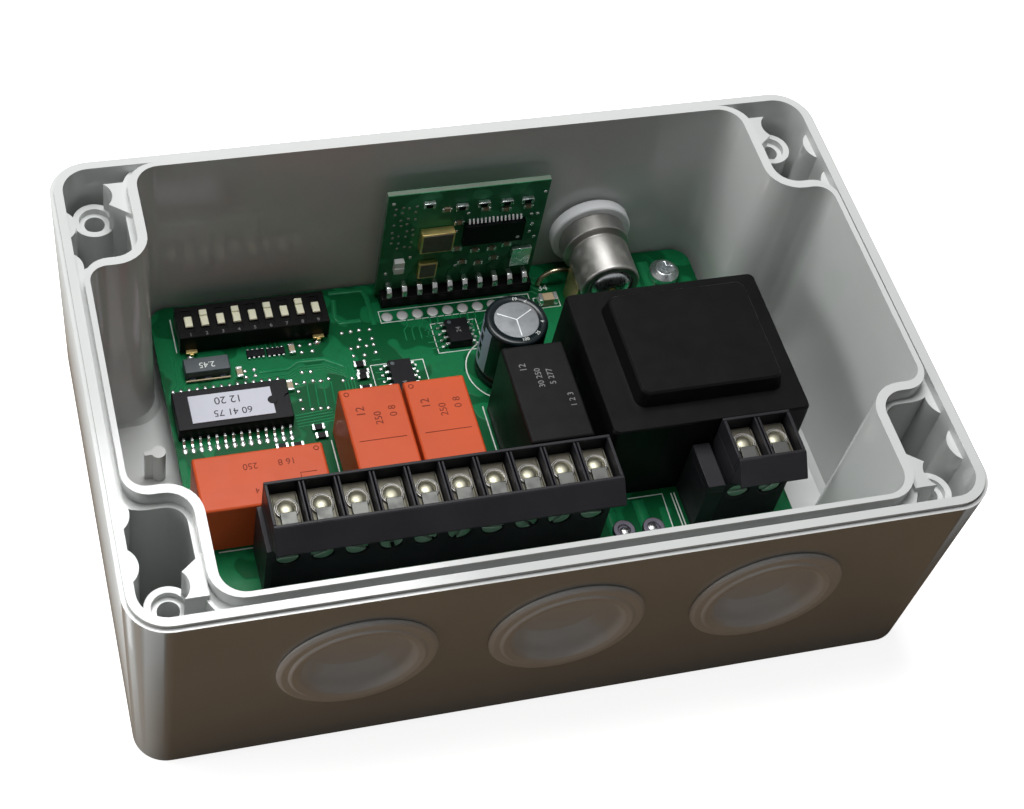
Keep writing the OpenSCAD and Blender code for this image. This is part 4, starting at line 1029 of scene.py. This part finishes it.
class RECEIVER_OT_radio_module(bpy.types.Operator):
    """Upright radio module with its chip, crystals and header"""

    bl_idname = "receiver.radio_module"
    bl_label = "Radio module"

    def execute(self, context):
        finished_copy("radio_board", "radio_board", sizes().metal_edge)
        self.face = box_mm("radio_board")[0].y
        self.header()
        self.chip()
        self.crystals()
        self.small_parts()
        return {"FINISHED"}

    def on_face(self, x, up, depth=0.0):
        """Place on the module's front face; depth is measured towards the camera."""
        return (x, self.face - depth, BOARD_TOP + up)

    def raised(self, made, left, right, bottom, top, depth, finish_name):
        """Block that stands out from the module's front face."""
        gap = 0.1
        made.block(self.on_face(left, bottom, depth), self.on_face(right, top, gap), finish_name)

    def header(self):
        """Dark strip, the bright rounded elbows of its pins, and the pale sawn edges of the module."""
        low, high = box_mm("radio_header")
        strip = Shape()
        self.raised(strip, low.x, high.x, 0.0, HEADER_TALL, HEADER_DEPTH, "black_plastic")
        strip.piece("radio_header_finished", 0.2, nodes=["radio_header"])
        pin = Shape()
        pin.bar([(-0.02, 4.0), (-1.3, 3.9), (-2.0, 3.3), (-2.2, 2.22), (-1.3, 2.22), (-1.1, 2.9),
                 (-0.02, 3.0)], 0.45, "solder")
        first = middle_x("radio_pins") - HEADER_PITCH * (RADIO_PINS - 1) / 2
        places = [self.on_face(first + HEADER_PITCH * k, 0.0) for k in range(RADIO_PINS)]
        placed("radio_pins_finished", pin.template("pin", 0.16, 3), "solder", places,
               nodes=["radio_pins"])
        low, high = box_mm("radio_board")
        thin, inset, side_up = 0.02, 0.1, 4.0
        edge = Shape()
        edge.block((low.x, low.y + inset, high.z - thin), (high.x, high.y - inset, high.z + thin),
                   "board_edge")
        edge.block((low.x - thin, low.y + inset, BOARD_TOP + side_up),
                   (low.x + thin, high.y - inset, high.z - thin), "board_edge")
        edge.piece("radio_board_edges", 0.005, steps=1)

    def chip(self):
        """Black chip with a dot, and its bright leads above and below."""
        left, right, bottom, top = CHIP_FACE
        body = Shape()
        self.raised(body, left, right, bottom, top, CHIP_DEPTH, "chip")
        dot = spot(*self.on_face(*CHIP_DOT, CHIP_DEPTH - 0.02), tilt=90)
        body.turned([(0.32, 0.0), (0.32, 0.03), (0.05, 0.03)], "print", dot, 16)
        body.piece("radio_chip_body", 0.12, nodes=["radio_chip"])
        lead = Shape()
        lead.bar([(-0.55, -0.05), (-0.62, 0.12), (-0.18, 0.85), (-0.02, 0.85), (-0.40, -0.05)], 0.16,
                 "solder")
        first = (left + right - CHIP_LEAD_PITCH * (CHIP_LEADS - 1)) / 2
        places = []
        for k in range(CHIP_LEADS):
            x = first + CHIP_LEAD_PITCH * k
            places.append(self.on_face(x, top))
            places.append(self.on_face(x, bottom) + ((0.0, 180.0, 0.0),))
        placed("radio_chip_leads", lead.template("radio_lead", 0.03), "solder", places)

    def crystals(self):
        """Two crystals with gold lids and dull fronts, and a small shielding can."""
        inset, proud, sunk = 0.28, 0.1, 0.05
        made = Shape()
        for left, right, bottom, top, depth in CRYSTALS:
            self.raised(made, left, right, bottom, top, depth, "gold")
            made.block(self.on_face(left + inset, bottom + inset, depth + proud),
                       self.on_face(right - inset, top - inset, depth - sunk), "crystal_lid")
        self.raised(made, *SHIELD_CAN, "steel")
        made.piece("radio_crystals_finished", 0.1, nodes=["radio_crystals"])

    def small_parts(self):
        """Chip parts with a painted highlight strip of steel on each dark bar, plated holes, solder dots and
        tracks on the module's face.
        """
        made = Shape()
        for x, up in DARK_BARS:
            chip_component(made, self.on_face(x, up - BAR_SIZE[1] / 2), BAR_SIZE, "chip", "wall")
            # Bright steel strip over the top of the dark bar: painted highlight where light catches its top
            self.raised(made, x - BAR_HIGHLIGHT_HALF, x + BAR_HIGHLIGHT_HALF, up + 0.02, up + 0.25, 0.85, "steel")
        for x, up in TAN_CHIPS:
            chip_component(made, self.on_face(x, up), TAN_CHIP_SIZE, "chip_parts", "wall")
        for block in WHITE_BLOCKS:
            self.raised(made, *block, "white_plastic")
        made.piece("radio_chip_parts_finished", 0.06, nodes=["radio_chip_parts"])
        for name, finish_name, points, size in (
                ("radio_vias", "via", self.via_places(), VIA_SIZE),
                ("radio_solder_dots", "solder", SOLDER_DOTS, DOT_SIZE)):
            placed(name, bead(), finish_name, [self.on_face(x, up) + (UPRIGHT, size) for x, up in points])
        proud, track_width, track_step = 0.01, 0.25, 2.2
        tracks = []
        for k in range(8):
            x, bend = -4.0 + track_step * k, 0.3 * (k % 3)
            points = ((x, 3.6), (x, 5.2 + bend), (x + 0.8, 6.1 + bend))
            tracks.append([self.on_face(px, up, proud) for px, up in points])
        wires("radio_tracks", tracks, "copper_green", track_width)

    def via_places(self):
        """Uneven grid of plated holes at the left, with some left out."""
        left, bottom, step, rise = -7.8, 12.2, 1.1, 1.35
        shift, drop = 0.09, 0.12
        return [(left + step * k + shift * ((k + row) % 3), bottom + rise * row - drop * ((2 * k + row) % 4))
                for k in range(4) for row in range(8) if (k + 3 * row) % 5]


# Coding switch, in millimetres. The body stands inside its node's front and rear. A knob is given as
# spans along Y. A foot's blocks are half width, nearest and farthest from the body, lowest and highest.
SWITCH_FRONT_IN, SWITCH_REAR_IN, SWITCH_TALL = 1.0, 0.25, 4.1
SLOT_FRONT_IN, SLOT_REAR_IN, SLOT_WIDTH, SLOT_DEPTH = 1.0, 0.9, 1.5, 0.2
ODD_KNOB = ((27.5, 29.6),)
EVEN_KNOB = ((27.5, 29.1), (29.5, 30.7))
KNOB_HALF, KNOB_GAP, KNOB_TALL, KNOB_TAPER = 0.64, 0.05, 0.38, 0.08
BRIDGE_HALF, BRIDGE_TALL = 0.6, 0.15
FOOT_BLOCKS = ((0.9, 0.02, 0.75, 0.75, 1.1), (0.32, 0.5, 1.0, 0.05, 0.95))
SWITCH_FIGURE, SWITCH_FIGURE_IN = 0.9, 0.52


class RECEIVER_OT_coding_switch(bpy.types.Operator):
    """Nine-way coding switch with its sliders"""

    bl_idname = "receiver.coding_switch"
    bl_label = "Coding switch"

    def execute(self, context):
        low, high = box_mm("dip_switch_body")
        front, rear, top = low.y + SWITCH_FRONT_IN, high.y - SWITCH_REAR_IN, BOARD_TOP + SWITCH_TALL
        xs = [middle_x("dip_slider_%d" % number) for number in range(1, SLIDERS + 1)]
        self.body(low.x, high.x, front, rear, top, xs)
        self.feet((xs[0], xs[-1]), front, rear)
        figures = []
        for number, x in enumerate(xs, 1):
            self.knob(number, x, top)
            figures.append((str(number), SWITCH_FIGURE, spot(x, front + SWITCH_FIGURE_IN, top + LACQUER)))
        lettering("dip_switch_numbers", figures, "faded_print")
        return {"FINISHED"}

    def body(self, left, right, front, rear, top, xs):
        """Body with a shallow slot under each knob."""
        lift = 0.5
        slot_front, slot_rear, floor = front + SLOT_FRONT_IN, rear - SLOT_REAR_IN, top - SLOT_DEPTH
        body = Shape()
        body.block((left, front, BOARD_TOP + lift), (right, rear, floor), "black_plastic")
        body.block((left, front, floor), (right, slot_front, top), "black_plastic")
        body.block((left, slot_rear, floor), (right, rear, top), "black_plastic")
        sides = [left] + [x + side * SLOT_WIDTH / 2 for x in xs for side in (-1, 1)] + [right]
        for x0, x1 in zip(sides[::2], sides[1::2]):
            body.block((x0, slot_front, floor), (x1, slot_rear, top), "black_plastic")
        body.piece("dip_switch_finished", 0.06, nodes=["dip_switch_body"])

    def knob(self, number, x, top):
        """Low knob just above the body, clear of its slot's ends; an even one has two parts and a bridge."""
        knob = Shape()
        spans = ODD_KNOB if number % 2 else EVEN_KNOB
        for y0, y1 in spans:
            knob.block((x - KNOB_HALF, y0, top + KNOB_GAP), (x + KNOB_HALF, y1, top + KNOB_TALL),
                       "cream_plastic", taper=KNOB_TAPER)
        for before, after in zip(spans, spans[1:]):
            knob.block((x - BRIDGE_HALF, before[1], top + KNOB_GAP),
                       (x + BRIDGE_HALF, after[0], top + BRIDGE_TALL), "cream_plastic")
        name = "dip_slider_%d" % number
        knob.piece(name + "_finished", 0.1, "slider_%d" % number, [name])

    def feet(self, xs, front, rear):
        """Gold feet at the corners, each with a plate beside the body and a leg to the board."""
        made = Shape()
        for x in xs:
            for edge, side in ((front, -1), (rear, 1)):
                for half, near, far, low, high in FOOT_BLOCKS:
                    y0, y1 = sorted((edge + side * near, edge + side * far))
                    made.block((x - half, y0, BOARD_TOP + low), (x + half, y1, BOARD_TOP + high), "gold")
        made.piece("dip_switch_feet", 0.06, nodes=["dip_switch_pins"])


# Chip parts on the board, in millimetres: places, and sizes as length, width and height
CERAMIC_PART, CERAMIC_SIZE = (18.9, 27.2), (3.2, 1.6, 1.6)
ARRAYS = ((-30.4, 23.9), (-27.2, 23.8))
TAN_PARTS, TAN_SIZE = ((-33.6, 20.6), (-24.6, 23.9), (-26.3, 16.8)), (2.0, 1.0, 0.6)
DARK_PARTS = ((-23.6, 8.3), (-23.4, 6.7), (-29.8, 5.6), (-27.4, 5.5), (-14.4, 17.6))
DARK_SIZE = (2.0, 1.1, 0.6)
DRIVER_PARTS, DRIVER_PART_STEP = 4, 2.4
FIRST_DRIVER_PART, DRIVER_PART_SIZE = (-14.6, 12.0), (2.0, 1.2, 0.6)

# Plain figures on the controller's label: height, then the place from the label's middle
LABEL_FIGURES = (("12 20", 1.9, -0.4, 1.15), ("60 41 75", 1.7, 0.0, -1.2))


class RECEIVER_OT_chips(bpy.types.Operator):
    """Chips and small chip parts on the main board"""

    bl_idname = "receiver.chips"
    bl_label = "Chips"

    def execute(self, context):
        finished_copy("controller_chip", "chip", 0.1 * MM)
        finished_copy("controller_leads", "solder", 0.05 * MM)
        finished_copy("controller_label", "label", 0.03 * MM)
        finished_copy("resonator", "resonator", sizes().metal_edge)
        self.small_chip("memory_chip", 4)
        self.small_chip("driver_chip", 8)
        self.ring_terminals()
        self.small_parts()
        self.controller_label()
        self.resonator()
        return {"FINISHED"}

    def small_chip(self, node, leads):
        """Chip across the board, in place of its node: body with a bevelled top, print and bright leads."""
        low, high = box_mm(node)
        middle = middle_mm(node)
        half_w, lift, pitch, bevel = 1.95, 0.15, 1.27, 0.16
        dot_left, dot_back, dot_radius, thin = 1.2, 0.8, 0.34, 0.02
        name = node + "_finished"
        body = Shape()
        body.block((middle.x - half_w, low.y, BOARD_TOP + lift), (middle.x + half_w, high.y, high.z), "chip",
                   taper=bevel)
        dot = spot(middle.x - dot_left, high.y - dot_back, high.z - thin / 2)
        body.turned([(dot_radius, 0.0), (dot_radius, thin), (0.05, thin)], "resonator", dot, 16)
        body.piece(name, 0.06, nodes=[node])
        places = []
        for k in range(leads):
            y = middle.y + (k - (leads - 1) / 2) * pitch
            for side in (-1, 1):
                places.append((middle.x + side * half_w, y, BOARD_TOP, (0.0, 0.0, side * 90.0)))
        placed(name + "_leads", gull_lead(), "solder", places)
        lettering(name + "_figures", [("24", 1.1, spot(middle.x, middle.y, high.z + PRINT_LIFT, 90))],
                  "faded_print")

    def ring_terminals(self):
        """Round terminals with solder in their middles."""
        finished_copy("ring_terminals", "ring", 0.15 * MM)
        low, high = box_mm("ring_terminals")
        radius, sunk = (high.y - low.y) / 2, 0.35
        places = [(x, low.y + radius, high.z - sunk, (0.0, 0.0, 0.0), (1.7, 1.7, 0.9))
                  for x in (low.x + radius, high.x - radius)]
        placed("ring_terminal_solder", bead(), "solder", places)

    def small_parts(self):
        """Chip resistors and capacitors, each with a ceramic body and tinned ends."""
        made = Shape()
        chip_component(made, (*CERAMIC_PART, BOARD_TOP), CERAMIC_SIZE, "tan_ceramic")
        for x, y in ARRAYS:
            self.array(made, x, y, BOARD_TOP)
        for x, y in TAN_PARTS:
            chip_component(made, (x, y, BOARD_TOP), TAN_SIZE, "chip_parts", "Y")
        for x, y in DARK_PARTS:
            chip_component(made, (x, y, BOARD_TOP), DARK_SIZE, "chip")
        x, y = FIRST_DRIVER_PART
        for k in range(DRIVER_PARTS):
            chip_component(made, (x, y + DRIVER_PART_STEP * k, BOARD_TOP), DRIVER_PART_SIZE, "chip")
        made.piece("chip_parts_finished", 0.06, nodes=["chip_parts"])

    def array(self, made, x, y, z):
        """Row of four resistors in one body, with tinned ends before and behind."""
        half_l, half_w, tall = 1.45, 0.65, 0.5
        pitch, end_half, end_tall = 0.76, 0.2, 0.42
        made.block((x - half_l, y - half_w, z), (x + half_l, y + half_w, z + tall), "chip")
        for k in range(4):
            middle = x - 1.5 * pitch + pitch * k
            for y0, y1 in ((y - 0.95, y - 0.67), (y + 0.67, y + 0.9)):
                made.block((middle - end_half, y0, z), (middle + end_half, y1, z + end_tall), "solder")

    def controller_label(self):
        """Notch that the label leaves open at the chip's end, and plain figures."""
        high = box_mm("controller_label")[1]
        middle = middle_mm("controller_label")
        radius, thin, inset = 0.75, 0.012, 0.05
        notch = Shape()
        notch.turned([(radius, 0.0), (radius, thin), (0.05, thin)], "chip",
                     spot(high.x - inset, middle.y, high.z), 24)
        notch.piece("controller_notch", 0.003, steps=1)
        lettering("controller_label_figures", [
            (words, height, spot(middle.x + dx, middle.y + dy, high.z, 180))
            for words, height, dx, dy in LABEL_FIGURES], "ink")

    def resonator(self):
        """Plain figures on the resonator, and its tan base in front."""
        low, high = box_mm("resonator")
        middle = middle_mm("resonator")
        lettering("resonator_figures", [("2.45", 1.5, spot(middle.x, middle.y + 0.1, high.z, 180))],
                  "print")
        inset, proud, bottom, top = 0.1, 0.12, 0.25, 0.55
        base = Shape()
        base.block((low.x + inset, low.y - proud, BOARD_TOP + bottom),
                   (high.x - inset, low.y + inset, BOARD_TOP + top), "tan_ceramic")
        base.piece("resonator_base", 0.04)


# Figures on the relays, in millimetres: height, then the place from the left and from the front edge
# (left relay) or from the rear edge (the others)
LEFT_RELAY_FIGURES = (("250", 1.5, 8.2, 6.9), ("16 8", 1.5, 13.6, 6.9), ("1 2 3 4", 1.3, 10.0, 2.6))
RELAY_FIGURES = (("12", 1.9, 2.6, 4.5), ("250", 1.6, 5.0, 6.0), ("0 8", 1.6, 7.4, 5.0))
POWER_RELAY_FIGURES = (("12", 1.5, 2.4, 4.2), ("30 250", 1.3, 4.4, 6.4), ("5 277", 1.3, 6.2, 6.4),
                       ("1 2 3", 1.3, 8.2, 11.0))
CORNER_MARK = ((15.2, 1.6), (15.2, 4.6), (17.6, 4.6))
MARK_RING, MARK_RING_STEPS = 0.35, 16
MARK_WIDTH, MARK_HEIGHT = 0.14, 0.02

# Capacitor: figures round its top with their angles in degrees, and the dashes on its stripe
CAPACITOR_FIGURES = (("100", -85), ("25", -50), ("4", -15), ("7", 55), ("63", 80))
STRIPE_ANGLES = (150.0, 205.0)
DASH_ANGLES = (172.0, 184.0)
DASH_LEVELS = (3.6, 5.9, 8.2, 10.5)
DASH_TALL = 1.5


class RECEIVER_OT_power_parts(bpy.types.Operator):
    """Relays, transformer and smoothing capacitor"""

    bl_idname = "receiver.power_parts"
    bl_label = "Power parts"

    def execute(self, context):
        for side in ("left", "middle", "right"):
            finished_copy("relay_" + side, "relay", sizes().part_edge)
        finished_copy("power_relay", "power_relay", sizes().part_edge)
        finished_copy("transformer", "transformer", 0.3 * MM)
        self.relay_print()
        self.capacitor()
        return {"FINISHED"}

    def upright_figures(self, node, rows):
        """Figures that read from the right, placed from the left and rear edges of a node's top."""
        low, high = box_mm(node)
        return [(words, height, spot(low.x + dx, high.y - dy, high.z + PRINT_LIFT, 90))
                for words, height, dx, dy in rows]

    def relay_print(self):
        """Plain numbers and outlines where real relays carry their ratings."""
        low, high = box_mm("relay_left")
        figures = [(words, height, spot(low.x + dx, low.y + dy, high.z + PRINT_LIFT, 180))
                   for words, height, dx, dy in LEFT_RELAY_FIGURES]
        for side in ("middle", "right"):
            figures += self.upright_figures("relay_" + side, RELAY_FIGURES)
        lettering("relay_numbers", figures, "relay_print")
        lettering("power_relay_numbers", self.upright_figures("power_relay", POWER_RELAY_FIGURES),
                  "faded_print")
        z = high.z
        ring_x, ring_y, ring_in, line_in, line_back = 18.3, 8.5, 1.1, 1.2, 9.8
        paths = [[(low.x + dx, low.y + dy, z) for dx, dy in CORNER_MARK],
                 ring_path(low.x + ring_x, low.y + ring_y, z, MARK_RING, MARK_RING_STEPS)]
        for side in ("middle", "right"):
            low, high = box_mm("relay_" + side)
            paths.append(ring_path(low.x + ring_in, high.y - ring_in, z, MARK_RING, MARK_RING_STEPS))
            y = high.y - line_back
            paths.append([(low.x + line_in, y, z), (high.x - line_in, y, z)])
        ribbons("relay_marks", paths, "relay_print", MARK_WIDTH, MARK_HEIGHT)

    def capacitor(self):
        """Shrunk sleeve with a pale stripe, rolled over a scored metal top."""
        low, high = box_mm("capacitor")
        middle = middle_mm("capacitor")
        place = spot(middle.x, middle.y, BOARD_TOP)
        radius = (high.x - low.x) / 2
        tall = high.z - BOARD_TOP
        body = Shape()
        body.turned([(radius - 0.8, 0.0), (radius - 0.3, 0.0), (radius, 0.4), (radius, 1.5),
                     (radius - 0.4, 1.9), (radius, 2.3), (radius, tall - 0.5), (radius - 0.14, tall - 0.18),
                     (radius - 0.5, tall - 0.02), (radius - 1.4, tall), (radius - 1.5, tall - 0.25)],
                    "capacitor", place, 64)
        body.piece("capacitor_sleeve", 0.05, nodes=["capacitor"], angle=80.0)
        top = Shape()
        top.turned([(radius - 1.45, tall - 0.35), (radius - 1.45, tall - 0.2), (radius - 1.6, tall - 0.15),
                    (0.1, tall - 0.10)], "can_top", place, 64)
        for angle in (30, 150, 270):
            turned = place @ Matrix.Rotation(math.radians(angle), 4, "Z")
            top.block((0.0, -0.09, tall - 0.2), (3.2, 0.09, tall - 0.07), "can_score", turned)
        top.piece("capacitor_top", 0.02, angle=60.0)
        ring = radius - 0.95
        figures = []
        for words, angle in CAPACITOR_FIGURES:
            x, y = ring * math.cos(math.radians(angle)), ring * math.sin(math.radians(angle))
            figures.append((words, 0.8, spot(middle.x + x, middle.y + y, high.z + PRINT_LIFT, angle + 90)))
        lettering("capacitor_figures", figures, "print")
        outer, inner = radius + 0.012, radius - 0.1
        stripe = Shape()
        self.patch(stripe, (outer, inner), (2.5, tall - 0.6), STRIPE_ANGLES, 12, "cap_stripe", place)
        stripe.piece("capacitor_stripe", 0.005, steps=1, angle=80.0)
        dashes = Shape()
        for level in DASH_LEVELS:
            self.patch(dashes, (outer + 0.01, inner), (level, level + DASH_TALL), DASH_ANGLES, 4,
                       "capacitor", place)
        dashes.piece("capacitor_marks", 0.005, steps=1, angle=80.0)

    def patch(self, shape, radii, heights, angles, steps, finish_name, place):
        """Curved patch of the sleeve between two angles and two heights."""
        rings = []
        for height in heights:
            outer, inner = [circle(radius, height, steps, *angles) for radius in radii]
            rings.append(outer + inner[::-1])
        shape.skin(rings, finish_name, place)


# Terminal blocks, in millimetres up from the board: top of the part that is shown as in the CAD, top
# of the narrower part above it, top of the shoulder at its left, and floor of the cells
LOWER_TOP = 9.9
NECK_TOP = 10.8
SHOULDER_TOP = 11.5
CELL_FLOOR = 14.4
BLOCKS = (
    ("terminal", "terminal_block", "terminal_screw_%d", TERMINALS, 0.9),
    ("mains", "mains_block", "mains_screw_%d", MAINS_TERMINALS, 2.7),
)


class RECEIVER_OT_terminals(bpy.types.Operator):
    """Terminal blocks, their clamps and their screws"""

    bl_idname = "receiver.terminals"
    bl_label = "Terminals"

    def execute(self, context):
        for _, _, screw, count, _ in BLOCKS:
            for number in range(1, count + 1):
                finished_copy(screw % number, "screw", 0.06 * MM, screw % number)
        for _, node, screw, count, shoulder in BLOCKS:
            self.housing(node, self.cells(screw, count), shoulder)
        for kind, node, screw, count, _ in BLOCKS:
            self.clamps(kind, node, self.cells(screw, count))
        return {"FINISHED"}

    def cells(self, screw, count):
        """Middle of each cell along X, above its screw."""
        return [middle_x(screw % number) for number in range(1, count + 1)]

    def housing(self, node, xs, shoulder):
        """Lower part with the screw bores as in the CAD; thin-walled cells and a leaning brow above it."""
        neck, wall, web, groove, half_cell, web_drop = 1.0, 0.5, 0.9, 0.2, 2.74, 0.15
        reach, drop, lip, lip_depth, root = 2.8, 2.8, 0.3, 0.6, 2.4
        finished_copy(node, "terminal", 0.1 * MM, below=BOARD_TOP + LOWER_TOP)
        low, high = box_mm(node)
        left, right = xs[0] - half_cell, xs[-1] + half_cell
        front, back, top = low.y, high.y, high.z
        lower, floor = BOARD_TOP + LOWER_TOP, BOARD_TOP + CELL_FLOOR
        upper = Shape()
        upper.block((left, front + neck, lower), (right, back, BOARD_TOP + NECK_TOP), "terminal")
        upper.block((left, front, BOARD_TOP + NECK_TOP), (right, back, floor), "terminal")
        upper.block((left, front, floor), (right, front + wall, top), "terminal")
        brow = [(front, top), (front - reach, top - drop), (front - reach, top - drop - lip),
                (front - reach + lip_depth, top - drop - lip), (front, floor - root)]
        upper.skin([[(x, y, z) for y, z in brow] for x in (left, right)], "terminal")
        upper.block((left, back - wall, floor), (right, back, top), "terminal")
        for x0, x1 in ((left, left + wall), (right - wall, right)):
            upper.block((x0, front + wall, floor), (x1, back - wall, top), "terminal")
        for x in [(before + after) / 2 for before, after in zip(xs, xs[1:])]:
            for x0, x1 in ((x - web / 2, x - groove / 2), (x + groove / 2, x + web / 2)):
                upper.block((x0, front + wall, floor), (x1, back - wall, top - web_drop), "terminal")
        upper.block((low.x, front, lower), (low.x + shoulder, back, BOARD_TOP + SHOULDER_TOP), "terminal")
        upper.piece(node + "_cells", 0.09)

    def clamps(self, kind, node, xs):
        """In each cell a plate in the clamp metal darkened as painted shade, on it a fixed domed head in a
        double ring, and a leaf over its front.
        """
        low, high = box_mm(node)
        floor = BOARD_TOP + CELL_FLOOR
        middle = (low.y + high.y) / 2
        half_x, half_y, thick, head_back = 1.95, 3.3, 0.85, 0.35
        plate = Shape()
        plate.block((-half_x, -half_y, 0.0), (half_x, half_y, thick), "clamp")
        for side in (-1, 1):
            x0, x1 = sorted((side * half_x, side * (half_x - 0.3)))
            plate.block((x0, -half_y + 0.4, thick), (x1, half_y - 0.5, thick + 0.22), "clamp")
        # The plates take a darkened copy of the clamp metal, painted shade for the depth of the cells
        placed(kind + "_plates", plate.template("plate", 0.08), "clamp_dark",
               [(x, middle, floor) for x in xs], nodes=[kind + "_clamps"])
        heads = [(x, middle + head_back, floor + thick) for x in xs]
        head = Shape()
        head.turned([(1.30, 0.0), (1.24, 0.14), (1.08, 0.26), (0.84, 0.37), (0.56, 0.45), (0.28, 0.49),
                     (0.05, 0.50)], "clamp")
        placed(kind + "_heads", head.template("head", 0.02, 1, 75.0), "clamp", heads)
        rims = Shape()
        rims.turned([(1.78, 0.0), (1.76, 0.32), (1.68, 0.40), (1.58, 0.34), (1.53, 0.18), (1.48, 0.34),
                     (1.40, 0.40), (1.32, 0.32), (1.28, 0.0)], "nickel", steps=36)
        placed(kind + "_rims", rims.template("rims", 0.02, 1, 75.0), "nickel", heads)
        leaf = Shape()
        leaf.bar([(-3.15, -0.10), (-3.15, 0.34), (-0.65, 0.86), (-0.55, 0.78), (-0.55, 0.46)], 1.16, "leaf")
        placed(kind + "_leaves", leaf.template("leaf", 0.09, 3), "leaf",
               [(x, middle, floor + thick) for x in xs])


OPERATORS = (
    RECEIVER_OT_stage,
    RECEIVER_OT_housing,
    RECEIVER_OT_board,
    RECEIVER_OT_antenna,
    RECEIVER_OT_radio_module,
    RECEIVER_OT_coding_switch,
    RECEIVER_OT_chips,
    RECEIVER_OT_power_parts,
    RECEIVER_OT_terminals,
)


class RECEIVER_PT_sidebar(bpy.types.Panel):
    """Sizes, colours and pieces of the receiver"""

    bl_idname = "RECEIVER_PT_sidebar"
    bl_label = "Radio receiver"
    bl_space_type = "VIEW_3D"
    bl_region_type = "UI"
    bl_category = "Receiver"

    def draw(self, context):
        scene = context.scene
        for group in (scene.receiver_sizes, scene.receiver_colours, scene.receiver_stage):
            column = self.layout.column()
            for name in group.bl_rna.properties.keys():
                if name not in ("rna_type", "name"):
                    column.prop(group, name)
        for operator in OPERATORS:
            self.layout.operator(operator.bl_idname)


CLASSES = (ReceiverSizes, ReceiverColours, ReceiverStage) + OPERATORS + (RECEIVER_PT_sidebar,)


def register():
    """Add the classes, and keep the user's values on the scene."""
    for one in CLASSES:
        bpy.utils.register_class(one)
    bpy.types.Scene.receiver_sizes = PointerProperty(type=ReceiverSizes)
    bpy.types.Scene.receiver_colours = PointerProperty(type=ReceiverColours)
    bpy.types.Scene.receiver_stage = PointerProperty(type=ReceiverStage)


def unregister():
    """Take away what register added."""
    del bpy.types.Scene.receiver_stage
    del bpy.types.Scene.receiver_colours
    del bpy.types.Scene.receiver_sizes
    for one in reversed(CLASSES):
        bpy.utils.unregister_class(one)


def main():
    register()
    for operator in OPERATORS:
        group, action = operator.bl_idname.split(".")
        getattr(getattr(bpy.ops, group), action)()


if __name__ == "__main__":
    main()
